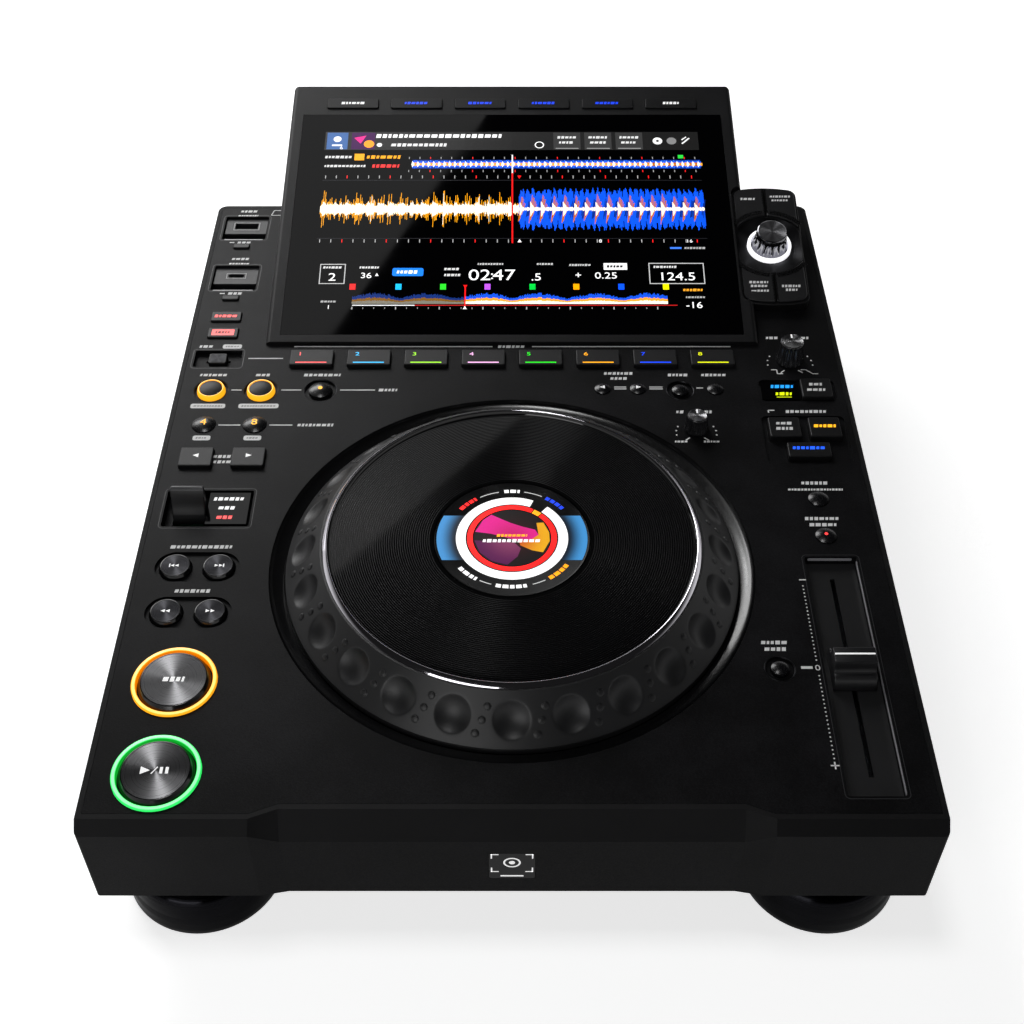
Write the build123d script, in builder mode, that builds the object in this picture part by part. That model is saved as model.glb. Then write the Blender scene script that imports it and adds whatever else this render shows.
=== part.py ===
from build123d import *
import os
from math import cos, radians, sin, sqrt, tan

os.makedirs("parts", exist_ok=True)

# A tabletop DJ media player, in millimetres, +Z up.
# The play and cue side faces -Y. The origin is on the table, under the middle of the whole player.
# "back" is always a distance behind the front edge of the deck, and "deep" a distance below the deck.

# ------------------------------------------------------------------ case
case_width = 329.0
deck_depth = 400.0
deck_height = 80.0
foot_height = 32.0
wall = 3.2
fine_edge = 0.3
hair = 0.01
cut_past = 1.0
rim = 2.2
seam = 0.15
case_corner = 5.0
front_corner = 1.5
lip_forward = 4.8
lip_drop = 4.7
bay_half_width = 88.5
bay_ramp = 11.0
bay_back = 4.4
bay_drop = 11.5
bay_setback = 2.0
panel_thickness = 3.0
tub_wall = 1.2
recess_deep = 1.2
recess_corner = 3.0
badge_width = 18.4
badge_length = 18.5
badge_corner = 1.0
badge_drop = 29.0
window_gap = 0.2

# ------------------------------------------------------------------ chassis, feet and fasteners
chassis_thickness = 2.0
chassis_flange = 8.0
boss_radius = 4.0
boss_height = 26.0
boss_sunk = 0.5
boss_rows = (90.0, 200.0, 310.0)
vent_length = 26.0
vent_width = 3.0
vent_pitch = 7.0
vent_count = 10
vent_rows = (60.0, 300.0)
foot_inset = 35.0
foot_front = 28.4
foot_rear = 372.0
foot_radius = 33.2
foot_shoulder_radius = 30.4
foot_neck_radius = 20.0
foot_neck_flare = 2.0
foot_flare_rise = 1.5
foot_neck_rise = 4.0
foot_shoulder = 20.0
foot_edge = 0.6
foot_pad_thickness = 0.8
foot_pad_radius = 27.0
foot_pad_width = 9.0
foot_bore_radius = 5.0
foot_screw_seat = 6.0
screw_radius = 1.5
screw_head_radius = 3.0
screw_head_height = 1.6
screw_length = 9.0

# ------------------------------------------------------------------ jog wheel
jog_back = 130.6
jog_well_radius = 105.7
jog_well_floor_radius = 102.5
jog_well_deep = 6.0
jog_well_floor = 2.0
jog_rim_radius = 98.5
jog_rim_deep = 4.5
jog_rim_band = 3.5
jog_top_radius = 82.3
jog_top_rise = 15.2
jog_web_thickness = 4.0
jog_web_rise = 8.0
jog_hub_radius = 30.0
dimple_count = 24
dimple_radius = 7.8
dimple_deep = 2.2
jog_ledge = 5.0
jog_web_step = 3.0
plate_radius = 81.3
plate_thickness = 2.5
plate_rise = 15.0
plate_rim_width = 2.2
plate_rim_rise = 1.0
plate_clearance = 0.15
jog_display_radius = 33.4
jog_display_clearance = 0.5
jog_display_thickness = 4.2
spindle_radius = 18.0
spindle_wall = 2.5
spindle_shoulder = 2.0
spindle_shoulder_width = 2.0
spindle_tail = 2.0
spindle_flange_radius = 29.0
spindle_flange = 2.0
bearing_radius = 26.0
bearing_width = 6.0
running_clearance = 0.05

# ------------------------------------------------------------------ display unit
display_inset = 40.0
display_front = 278.0
display_length = 187.6
display_tilt = 11.6
display_step = 2.0
display_rear_face = 21.0
display_wall = 3.0
display_top_edge = 1.0
display_corner = 2.5
display_bay_margin = 9.5
display_bay_front = 285.0
display_bay_back = 391.0
glass_margin = 7.1
glass_start = 4.7
glass_end = 163.6
glass_thickness = 2.0
glass_corner = 0.8
lcd_margin = 6.4
lcd_start = 10.0
lcd_end = 157.0
lcd_thickness = 5.0
driver_board_length = 50.0
driver_board_setback = 40.0
display_key_place = 172.2
display_key_margin = 27.4
display_key_gap = 7.2
display_key_length = 7.4
display_key_count = 6
display_key_rise = 0.8

# ------------------------------------------------------------------ encoder pod
pod_inset = 28.0
pod_front = 304.0
pod_rise = 5.0
pod_half_width = 17.6
pod_length = 83.0
pod_corner = 5.0
pod_bulge = 2.2
pod_rim = 1.3
pod_edge = 0.5
pod_knob_place = 41.5
pod_key_gap = 1.4
pod_key_deep = 3.0
pod_key_rise = 1.2
dish_radius = 19.6
dish_deep = 2.4
dish_thickness = 0.8
encoder_ring_outer = 11.6
encoder_ring_inner = 9.9
encoder_ring_rise = 0.6
encoder_base_radius = 9.4
encoder_top_radius = 7.6
encoder_height = 12.0
encoder_flutes = 14
encoder_flute_radius = 1.3
encoder_flute_share = 0.7
encoder_shaft_radius = 3.0
encoder_shaft_length = 26.0
encoder_shaft_grip = 10.0
encoder_push = 0.6

# ------------------------------------------------------------------ keys and knobs
key_clearance = 0.25
key_corner = 1.0
key_rise = 2.0
key_edge = 0.5
key_flange = 1.0
key_flange_thickness = 1.2
key_flange_gap = 0.3
key_travel = 1.0
big_key_travel = 1.5
switch_height = 3.0
switch_radius = 2.4
switch_gap = 0.1
stem_radius = 1.7
skirt_drop = 1.6
skirt_edge = 0.4
dome_rise = 0.4
dome_share = 0.25
loop_dome = 0.8
ring_seat_deep = 2.0

left_column_inset = 17.3
inner_column_inset = 41.6
reloop_column_inset = 70.8
dial_column_inset = 27.6
right_column_inset = 25.3
small_key_width = 15.4
small_key_length = 7.5
stop_key_width = 8.6
stop_key_length = 3.6
pad_back = 266.2
pad_margin = 17.4
pad_gap = 6.97
pad_length = 11.4
pad_count = 8
jump_key_width = 15.4
jump_key_length = 12.2
jump_back = 194.6
mode_key_width = 14.8
mode_key_length = 13.4
sync_back = 214.9
wide_key_width = 20.1
wide_key_length = 9.5

cue_radius = 14.7
cue_face_radius = 13.2
cue_ring_outer = 17.35
cue_ring_inner = 15.5
cue_ring_rise = 1.0
loop_radius = 5.1
loop_ring_outer = 6.75
loop_ring_inner = 5.4
loop_ring_rise = 2.0
skip_radius = 7.1
skip_bevel = 1.0
dome_radius = 5.6
dot_radius = 3.9
range_radius = 4.6
reset_radius = 3.6

knob_base_radius = 7.1
knob_top_radius = 5.6
knob_height = 12.0
small_knob_base_radius = 6.0
small_knob_top_radius = 4.6
small_knob_height = 8.5
knob_flutes = 18
knob_flute_radius = 0.55
knob_flute_share = 0.75
knob_edge = 0.4
knob_gap = 0.4
pot_radius = 3.0
pot_height = 7.0
pot_width = 10.2

# ------------------------------------------------------------------ fader, lever and toggle
fader_back = 72.2
fader_recess_back = 71.5
fader_recess_width = 22.8
fader_recess_length = 123.0
fader_recess_deep = 4.0
fader_slot_width = 1.8
fader_travel = 48.0
fader_cap_width = 17.4
fader_cap_length = 22.4
fader_cap_top = 6.6
fader_cap_rise = 8.0
fader_cap_shoulder = 4.0
fader_cap_flare = 2.0
fader_cap_foot = 1.0
fader_cap_edge = 0.8
fader_stem_width = 1.2
fader_stem_length = 5.0
fader_stem_reach = 6.0
rail_width = 11.0
rail_margin = 4.0
rail_floor = 2.0
rail_channel = 3.0
lever_well_width = 39.3
lever_well_length = 22.6
lever_well_deep = 5.0
lever_width = 15.0
lever_rise = 11.0
lever_swing = 14.0
lever_half_foot = 4.5
lever_tail = 1.0
lever_back_edge = 4.0
lever_back_crown = 3.0
lever_lip = 1.6
lever_hollow = 0.6
lever_hollow_rise = 4.0
lever_front_foot = 3.0
lever_window_width = 18.4
lever_window_length = 19.6
mode_window_width = 18.6
toggle_well_width = 23.5
toggle_well_length = 12.5
toggle_well_deep = 2.4
toggle_swing = 9.0
toggle_cap_width = 9.0
toggle_cap_length = 7.4
toggle_rise = 2.6
toggle_stem_width = 2.6

# ------------------------------------------------------------------ sockets
usb_well_width = 23.8
usb_well_length = 21.2
usb_well_deep = 7.0
usb_block_width = 21.0
usb_block_length = 12.0
usb_block_deep = 1.4
usb_cover_gap = 0.6
usb_cover_length = 14.0
usb_cover_height = 4.0
usb_a_width = 12.6
usb_a_length = 5.2
usb_c_width = 8.6
usb_c_length = 2.8
port_shell = 0.35
port_corner = 0.4
port_tongue_setback = 2.0
port_depth = 12.0
post_width = 5.6
post_height = 3.2
post_setback = 3.0
socket_height = 52.0
phono_radius = 4.15
phono_length = 9.0
phono_bore = 1.7
phono_collar = 1.3
socket_body = 12.0
phono_body_depth = 14.0
phono_pitch = 18.0
network_width = 11.8
network_height = 8.0
network_depth = 13.0
inlet_width = 24.0
inlet_height = 16.4
inlet_depth = 14.0
inlet_pin_length = 9.5
pin_spread = 7.0
pin_rise = 2.0
pin_width = 2.0
pin_height = 4.5
socket_wall = 1.5
power_key_radius = 5.0
power_key_reach = 4.0
power_key_stand = 3.0
power_key_edge = 0.6
power_key_travel = 2.5
power_stem = 4.0
power_switch_depth = 10.0

# ------------------------------------------------------------------ circuit boards
board_thickness = 1.6
control_board_deep = 15.6
main_board_rise = 6.0
main_board_width = 210.0
main_board_length = 190.0
main_board_back = 160.0
power_board_width = 90.0
power_board_length = 110.0
power_board_place = (100.0, 330.0)
transformer_width = 36.0
transformer_length = 34.0
transformer_height = 14.0
transformer_offset = 14.0
chip_height = 1.6
chip_places = [(-60, 130, 24), (-10, 170, 32), (50, 130, 20), (60, 200, 16), (-50, 210, 18)]
side_board_length = 384.0
side_board_back = 200.0
left_board_width = 50.6
left_board_inset = 11.95
right_board_width = 55.0
right_board_inset = 7.2
middle_board_width = 208.0
middle_board_length = 70.0
middle_board_place = (-2.0, 242.0)
jack_board_width = 150.0
jack_board_length = 20.0
jack_board_place = (-6.0, 384.0)
standoff_radius = 3.0
standoff_margin = 7.0
post_radius = 2.5
left_post_inset = 2.05
left_post_rows = (20.0, 180.0, 340.0)
right_post_inset = 9.5
right_post_rows = (20.0, 150.0, 290.0)
middle_posts = [(-98.0, 224.0), (-4.0, 256.0), (72.0, 256.0)]

# ------------------------------------------------------------------ worked-out places
tilt = radians(display_tilt)
case_half = case_width / 2
left_column = left_column_inset - case_half
inner_column = inner_column_inset - case_half
reloop_column = reloop_column_inset - case_half
dial_column = dial_column_inset - case_half
right_column = case_half - right_column_inset
foot_half_span = case_half - foot_inset
pod_x = case_half - pod_inset
display_half_width = case_half - display_inset
display_bay_half_width = display_half_width - display_bay_margin
glass_half_width = display_half_width - glass_margin
lcd_half_width = glass_half_width - lcd_margin
display_key_pitch = 2 * (glass_half_width - display_key_margin) / (display_key_count - 1)
display_key_width = display_key_pitch - display_key_gap
pad_pitch = 2 * (glass_half_width - pad_margin) / (pad_count - 1)
pad_width = pad_pitch - pad_gap
usb_cover_width = usb_well_width - 2 * usb_cover_gap
display_rear = display_front + display_length * cos(tilt)
front_y = -(display_rear - lip_forward) / 2
jog_y = front_y + jog_back
back_y = front_y + deck_depth
panel_under = deck_height - panel_thickness
encoder_middle_rise = pod_rise + pod_knob_place * sin(tilt)
encoder_middle_back = pod_front + pod_knob_place * cos(tilt)
encoder_hole_back = encoder_middle_back + (encoder_middle_rise + panel_thickness / 2) * tan(tilt)
well_floor = deck_height - jog_well_deep
board_top = deck_height - control_board_deep
switch_top = board_top + switch_height
chassis_top = foot_height + chassis_thickness
main_board_z = chassis_top + main_board_rise
socket_face = back_y
inner_half_width = case_half - wall
front_wall = bay_back + wall
inner_back = deck_depth - wall


def spot(x, back):
    """A place on the deck, from its middle and its front edge."""
    return (x, front_y + back)


def tilted(x, back, rise):
    """A plane that leans like the display, through a point above the deck."""
    origin = (x, front_y + back, deck_height + rise)
    return Plane(origin=origin, x_dir=(1, 0, 0), z_dir=(0, -sin(tilt), cos(tilt)))


def save(builder, label):
    """Label one sub-part and write it."""
    builder.part.label = label
    export_step(builder.part, "parts/" + label + ".step")


display_plane = tilted(0, display_front, display_step)
pod_plane = tilted(pod_x, pod_front, pod_rise)
pod_up = Axis(pod_plane.origin, pod_plane.z_dir)
rear_plane = Plane(origin=(0, socket_face, socket_height), x_dir=(-1, 0, 0), z_dir=(0, 1, 0))

# Where each control stands, and how large its cap is.
pair_left = right_column - 9.6
pair_right = right_column + 9.5
reset_column = right_column - 29.7
skip_left = dial_column - 9.5
skip_right = dial_column + 9.3
pad_columns = [(i - (pad_count - 1) / 2) * pad_pitch for i in range(pad_count)]
square_keys = {
    "jump_back_button": (left_column, jump_back, jump_key_width, jump_key_length),
    "jump_forward_button": (inner_column, jump_back, jump_key_width, jump_key_length),
    "jog_mode_button": (pair_right, 243.1, mode_key_width, mode_key_length),
    "sync_button": (pair_left, sync_back, mode_key_width, mode_key_length),
    "master_button": (pair_right, sync_back, mode_key_width, mode_key_length),
    "key_button": (right_column, 199.3, wide_key_width, wide_key_length),
}
for number, column in enumerate(pad_columns, start=1):
    square_keys["hot_pad_%d" % number] = (column, pad_back, pad_width, pad_length)
side_keys = [
    (left_column, 361.2, stop_key_width, stop_key_length),
    (left_column, 315.8, stop_key_width, stop_key_length),
    (left_column, 300.0, small_key_width, small_key_length),
    (left_column, 286.8, small_key_width, small_key_length),
]
skip_keys = {
    "track_back_button": (skip_left, 127.2),
    "track_forward_button": (skip_right, 127.2),
    "search_back_button": (skip_left, 101.4),
    "search_forward_button": (skip_right, 101.4),
}
cue_keys = {
    "cue_button": (dial_column, 64.4),
    "play_button": (dial_column, 20.5),
}
loop_keys = {
    "loop_in_button": (left_column, 243.2),
    "loop_out_button": (inner_column, 243.2),
}
dome_keys = {
    "reloop_button": (reloop_column, 243.2, dome_radius),
    "beat_4_button": (left_column, 218.3, dome_radius),
    "beat_8_button": (inner_column, 218.3, dome_radius),
    "delete_button": (82.3, 243.2, dot_radius),
    "memory_button": (99.5, 243.8, dot_radius),
    "range_button": (right_column, 168.5, range_radius),
    "hold_button": (right_column, 145.5, range_radius),
    "reset_button": (reset_column, 71.2, reset_radius),
}
call_keys = [(44.4, 244.2), (61.7, 244.2)]
knobs = {
    "brake_speed_knob": (right_column - 0.6, 266.0),
    "jog_weight_knob": (87.6, 215.5),
}
lever_place = (dial_column - 0.4, 162.7)
lever_column = dial_column - 8.7
toggle_place = (left_column, 267.1)
usb_a_place = (left_column, 378.9)
usb_c_place = (left_column, 333.7)
usb_block_back = (usb_well_length - usb_cover_length) / 2 - seam
mode_window_place = (right_column - 8.0, 243.1)
lever_window_place = (dial_column + 8.7, 162.7)

# Socket places along the rear, from the middle towards the power side.
inlet_x = case_half - 46.5
network_x = 62.0
usb_b_x = 36.0
phono_x = -40.0
power_key_x = case_half - 16.5
phono_count = 4

# Rounded wells and shallow recesses in the deck: place, width, length, depth.
wells = [
    (*usb_a_place, usb_well_width, usb_well_length, usb_well_deep),
    (*usb_c_place, usb_well_width, usb_well_length, usb_well_deep),
    (*toggle_place, toggle_well_width, toggle_well_length, toggle_well_deep),
    (*lever_place, lever_well_width, lever_well_length, lever_well_deep),
    (right_column, fader_recess_back, fader_recess_width, fader_recess_length, fader_recess_deep),
]
mode_recess = (right_column + 0.4, 243.1, 37.2, 15.6)
sync_recess = (right_column + 0.2, 208.1, 40.0, 32.7)
pill_recesses = [(dial_column - 0.1, back, 36.8, 17.2) for back in (127.2, 101.4)]
ring_recesses = [
    (left_column, 243.2, 8.7),
    (inner_column, 243.2, 8.7),
    (reloop_column, 243.2, 8.2),
    (82.3, 243.2, 6.9),
    (reset_column, 71.2, 6.5),
]


# ------------------------------------------------------------------ body shell
def case_profile(in_bay):
    """Side outline of the case, at the sides or across the set-back bay in the front."""
    top = front_y
    face = front_y - lip_forward
    drop = lip_drop
    if in_bay:
        top = front_y + bay_back
        face = front_y - lip_forward + bay_setback
        drop = bay_drop
    return [
        (top, deck_height),
        (face, deck_height - drop),
        (face, foot_height),
        (back_y, foot_height),
        (back_y, deck_height),
    ]


def deck_outline(inset):
    """The deck's outline, drawn inside the case's top edge by the inset."""
    half = case_half - inset
    front = front_y + inset
    bay = front + bay_back
    rear = back_y - inset
    ramp_end = bay_half_width + bay_ramp
    with BuildSketch() as outline:
        with BuildLine():
            Polyline(
                (-half, front),
                (-ramp_end, front),
                (-bay_half_width, bay),
                (bay_half_width, bay),
                (ramp_end, front),
                (half, front),
                (half, rear),
                (-half, rear),
                close=True,
            )
        make_face()
        fillet(outline.vertices().group_by(Axis.Y)[-1], radius=case_corner - inset)
    return outline.sketch


boss_x = inner_half_width - boss_radius + boss_sunk
boss_places = [spot(side * boss_x, back) for side in (-1, 1) for back in boss_rows]
ramp_half_width = bay_half_width + bay_ramp
case_stations = [
    (-case_half, False),
    (-ramp_half_width, False),
    (-bay_half_width, True),
    (bay_half_width, True),
    (ramp_half_width, False),
    (case_half, False),
]
with BuildPart() as body_shell:
    for station_x, in_bay in case_stations:
        with BuildSketch(Plane.YZ.offset(station_x)):
            with BuildLine():
                Polyline(*case_profile(in_bay), close=True)
            make_face()
    loft(ruled=True)
    fillet(body_shell.edges().filter_by(Axis.Z).group_by(Axis.Y)[-1], radius=case_corner)
    side_edges = body_shell.edges().filter_by(Axis.Z).group_by(Axis.X)
    fillet(side_edges[0].sort_by(Axis.Y)[0], radius=front_corner)
    side_edges = body_shell.edges().filter_by(Axis.Z).group_by(Axis.X)
    fillet(side_edges[-1].sort_by(Axis.Y)[0], radius=front_corner)
    with BuildSketch(Plane.XY.offset(panel_under)):
        add(deck_outline(rim))
    extrude(amount=panel_thickness, mode=Mode.SUBTRACT)
    with BuildSketch(Plane.XY.offset(foot_height)):
        add(deck_outline(wall))
    extrude(amount=deck_height - foot_height, mode=Mode.SUBTRACT)
    # screw bosses along the side walls
    with BuildSketch(Plane.XY.offset(chassis_top)):
        with Locations(*boss_places):
            Circle(boss_radius)
            Circle(screw_radius, mode=Mode.SUBTRACT)
    extrude(amount=boss_height)
    # openings in the rear wall for the sockets and the power key
    with BuildSketch(rear_plane.offset(-wall - cut_past)):
        with Locations((-inlet_x, 0)):
            Rectangle(inlet_width + 2 * socket_wall + 2 * seam, inlet_height + 2 * socket_wall + 2 * seam)
        with Locations((-network_x, 0)):
            Rectangle(network_width + 2 * socket_wall + 2 * seam, socket_body + 2 * seam)
        with Locations((-usb_b_x, 0)):
            Rectangle(socket_body + 2 * seam, socket_body + 2 * seam)
        with Locations(*[(-phono_x + i * phono_pitch, 0) for i in range(phono_count)]):
            Circle(phono_radius + phono_collar + key_clearance)
        with Locations((-power_key_x, 0)):
            Circle(power_key_radius + key_clearance)
    extrude(amount=wall + 2 * cut_past, mode=Mode.SUBTRACT)
    # shallow seat for the badge window in the front face
    badge_plane = Plane(
        origin=(0, front_y - lip_forward + bay_setback, deck_height - badge_drop),
        x_dir=(1, 0, 0),
        z_dir=(0, -1, 0),
    )
    with BuildSketch(badge_plane):
        RectangleRounded(badge_width, badge_length, badge_corner)
    extrude(amount=-recess_deep, mode=Mode.SUBTRACT)
save(body_shell, "body_shell")


# ------------------------------------------------------------------ top panel
def well_outline(x, back, width, length, corner):
    """One rounded rectangle on the deck."""
    with BuildSketch() as outline:
        with Locations(spot(x, back)):
            RectangleRounded(width, length, corner)
    return outline.sketch


with BuildPart() as top_panel:
    with BuildSketch(Plane.XY.offset(panel_under)):
        add(deck_outline(rim + seam))
    extrude(amount=panel_thickness)
    # tub that holds the jog wheel, and the tubs of the deeper wells
    with BuildSketch(Plane.XY.offset(well_floor - jog_well_floor)):
        with Locations(spot(0, jog_back)):
            Circle(jog_well_radius + tub_wall)
    extrude(amount=panel_under - well_floor + jog_well_floor)
    for x, back, width, length, deep in wells:
        with BuildSketch(Plane.XY.offset(deck_height - deep - tub_wall)):
            add(well_outline(x, back, width + 2 * tub_wall, length + 2 * tub_wall, key_corner + tub_wall))
        extrude(amount=deep + tub_wall - panel_thickness / 2)
    # the jog well, tapered towards its floor, with the spindle's hole
    with BuildSketch(Plane.XY.offset(well_floor)):
        with Locations(spot(0, jog_back)):
            Circle(jog_well_floor_radius)
    with BuildSketch(Plane.XY.offset(deck_height)):
        with Locations(spot(0, jog_back)):
            Circle(jog_well_radius)
    loft(mode=Mode.SUBTRACT)
    with BuildSketch(Plane.XY.offset(well_floor)):
        with Locations(spot(0, jog_back)):
            Circle(spindle_radius + running_clearance)
    extrude(amount=-2 * jog_well_floor, mode=Mode.SUBTRACT)
    # the deeper wells
    for x, back, width, length, deep in wells:
        with BuildSketch(Plane.XY.offset(deck_height - deep)):
            add(well_outline(x, back, width, length, key_corner))
        extrude(amount=deep, mode=Mode.SUBTRACT)
    # shallow recesses around groups of keys
    with BuildSketch(Plane.XY.offset(deck_height - recess_deep)):
        add(well_outline(*mode_recess, recess_corner))
        add(well_outline(*sync_recess, recess_corner))
        for x, back, width, length in pill_recesses:
            add(well_outline(x, back, width, length, length / 2 - hair))
        for x, back, radius in ring_recesses:
            with Locations(spot(x, back)):
                Circle(radius)
    extrude(amount=recess_deep, mode=Mode.SUBTRACT)
    # round seats for the light rings of cue and play
    with BuildSketch(Plane.XY.offset(deck_height - ring_seat_deep)):
        for x, back in cue_keys.values():
            with Locations(spot(x, back)):
                Circle(cue_ring_outer + seam)
    extrude(amount=ring_seat_deep, mode=Mode.SUBTRACT)
    # holes that the keys and knobs come through
    with BuildSketch(Plane.XY.offset(panel_under - tub_wall)):
        for x, back, width, length in [*square_keys.values(), *side_keys]:
            with Locations(spot(x, back)):
                RectangleRounded(width + 2 * key_clearance, length + 2 * key_clearance, key_corner)
        for x, back in skip_keys.values():
            with Locations(spot(x, back)):
                Circle(skip_radius + key_clearance)
        for x, back in cue_keys.values():
            with Locations(spot(x, back)):
                Circle(cue_radius + key_clearance)
        for x, back in loop_keys.values():
            with Locations(spot(x, back)):
                Circle(loop_radius + key_clearance)
        for x, back, radius in dome_keys.values():
            with Locations(spot(x, back)):
                Circle(radius + key_clearance)
        for x, back in call_keys:
            with Locations(spot(x, back)):
                Circle(dot_radius + key_clearance)
        for x, back in knobs.values():
            with Locations(spot(x, back)):
                Circle(pot_radius + key_clearance)
    extrude(amount=2 * panel_thickness, mode=Mode.SUBTRACT)
    # bay under the display, and the encoder's hole under the pod
    display_bay_length = display_bay_back - display_bay_front
    with BuildSketch(Plane.XY.offset(panel_under)):
        with Locations(spot(0, display_bay_front + display_bay_length / 2)):
            Rectangle(2 * display_bay_half_width, display_bay_length)
        with Locations(spot(pod_x, encoder_hole_back)):
            Circle(encoder_shaft_radius + 4 * key_clearance)
    extrude(amount=panel_thickness, mode=Mode.SUBTRACT)
    # slots in the wells' floors for the fader, the lever, the toggle and the USB blocks
    with BuildSketch(Plane.XY.offset(deck_height - usb_well_deep - tub_wall)):
        with Locations(spot(right_column, fader_back)):
            Rectangle(fader_slot_width, 2 * (fader_travel + key_clearance) + fader_stem_length)
        with Locations(spot(lever_column, lever_place[1])):
            Rectangle(lever_width + 2 * key_clearance, lever_swing + 2 * key_clearance)
        with Locations(spot(*toggle_place)):
            Rectangle(toggle_swing + toggle_stem_width + 2 * key_clearance, fader_slot_width)
        for x, back in (usb_a_place, usb_c_place):
            with Locations(spot(x, back + usb_block_back)):
                Rectangle(usb_block_width + 2 * seam, usb_block_length + 2 * seam)
    extrude(amount=usb_well_deep, mode=Mode.SUBTRACT)
save(top_panel, "top_panel")


# ------------------------------------------------------------------ chassis and feet
foot_places = [
    spot(-foot_half_span, foot_front),
    spot(foot_half_span, foot_front),
    spot(-foot_half_span, foot_rear),
    spot(foot_half_span, foot_rear),
]
tray_width = 2 * (inner_half_width - seam)
tray_length = inner_back - front_wall - 2 * seam
tray_place = spot(0, (front_wall + inner_back) / 2)
standoff_boards = [
    (spot(0, main_board_back), main_board_width, main_board_length),
    (spot(*power_board_place), power_board_width, power_board_length),
]
with BuildPart() as bottom_chassis:
    with BuildSketch(Plane.XY.offset(foot_height)):
        with Locations(tray_place):
            RectangleRounded(tray_width, tray_length, wall / 2)
    extrude(amount=chassis_flange)
    with BuildSketch(Plane.XY.offset(chassis_top)):
        with Locations(tray_place):
            Rectangle(2 * tray_width, tray_length - 2 * chassis_thickness)
    extrude(amount=chassis_flange, mode=Mode.SUBTRACT)
    with BuildSketch(Plane.XY.offset(chassis_top)):
        for place, width, length in standoff_boards:
            with Locations(place):
                with GridLocations(width - 2 * standoff_margin, length - 2 * standoff_margin, 2, 2):
                    Circle(standoff_radius)
    extrude(amount=main_board_rise)
    # cooling slots in two rows, and the holes of the feet
    with BuildSketch(Plane.XY.offset(foot_height)):
        with Locations(*[spot(0, back) for back in vent_rows]):
            with GridLocations(vent_pitch, 0, vent_count, 1):
                SlotOverall(vent_length, vent_width, rotation=90)
        with Locations(*foot_places, *boss_places):
            Circle(screw_radius + key_clearance)
    extrude(amount=chassis_thickness, mode=Mode.SUBTRACT)
save(bottom_chassis, "bottom_chassis")

with BuildPart() as feet:
    for foot_x, foot_y in foot_places:
        # turned foot: a wide skirt under a narrow neck
        with BuildSketch(Plane.XZ.offset(-foot_y)):
            with BuildLine():
                Polyline(
                    (foot_x + foot_bore_radius, foot_pad_thickness),
                    (foot_x + foot_radius - foot_edge, foot_pad_thickness),
                    (foot_x + foot_radius, foot_pad_thickness + foot_edge),
                    (foot_x + foot_shoulder_radius, foot_shoulder),
                    (foot_x + foot_neck_radius + foot_neck_flare, foot_shoulder + foot_flare_rise),
                    (foot_x + foot_neck_radius, foot_shoulder + foot_neck_rise),
                    (foot_x + foot_neck_radius, foot_height),
                    (foot_x + screw_radius, foot_height),
                    (foot_x + screw_radius, foot_height - foot_screw_seat),
                    (foot_x + foot_bore_radius, foot_height - foot_screw_seat),
                    close=True,
                )
            make_face()
        revolve(axis=Axis((foot_x, foot_y, 0), (0, 0, 1)))
    # rubber ring glued under each foot
    with BuildSketch():
        with Locations(*foot_places):
            Circle(foot_pad_radius)
            Circle(foot_pad_radius - foot_pad_width, mode=Mode.SUBTRACT)
    extrude(amount=foot_pad_thickness)
save(feet, "feet")


# ------------------------------------------------------------------ display unit
def slope_height(back):
    """Height of the display's top face above a place on the deck."""
    return deck_height + display_step + (back - display_front) * tan(tilt)


rear_bottom = slope_height(display_rear) - display_rear_face
overhang_slope = (rear_bottom - deck_height) / (display_rear - deck_depth)


def underside(back):
    """Height of the display's underside behind the deck."""
    return deck_height + (back - deck_depth) * overhang_slope


def pod_outline(grow):
    """The encoder pod's outline in its own plane: a rounded block with bowed ends."""
    half = pod_half_width + grow
    low = -grow
    high = pod_length + grow
    with BuildSketch() as outline:
        with BuildLine():
            Line((-half, low + pod_bulge), (-half, high - pod_bulge))
            ThreePointArc((-half, high - pod_bulge), (0, high), (half, high - pod_bulge))
            Line((half, high - pod_bulge), (half, low + pod_bulge))
            ThreePointArc((half, low + pod_bulge), (0, low), (-half, low + pod_bulge))
        make_face()
        fillet(outline.vertices(), radius=pod_corner + grow / 2)
    return outline.sketch


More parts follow.
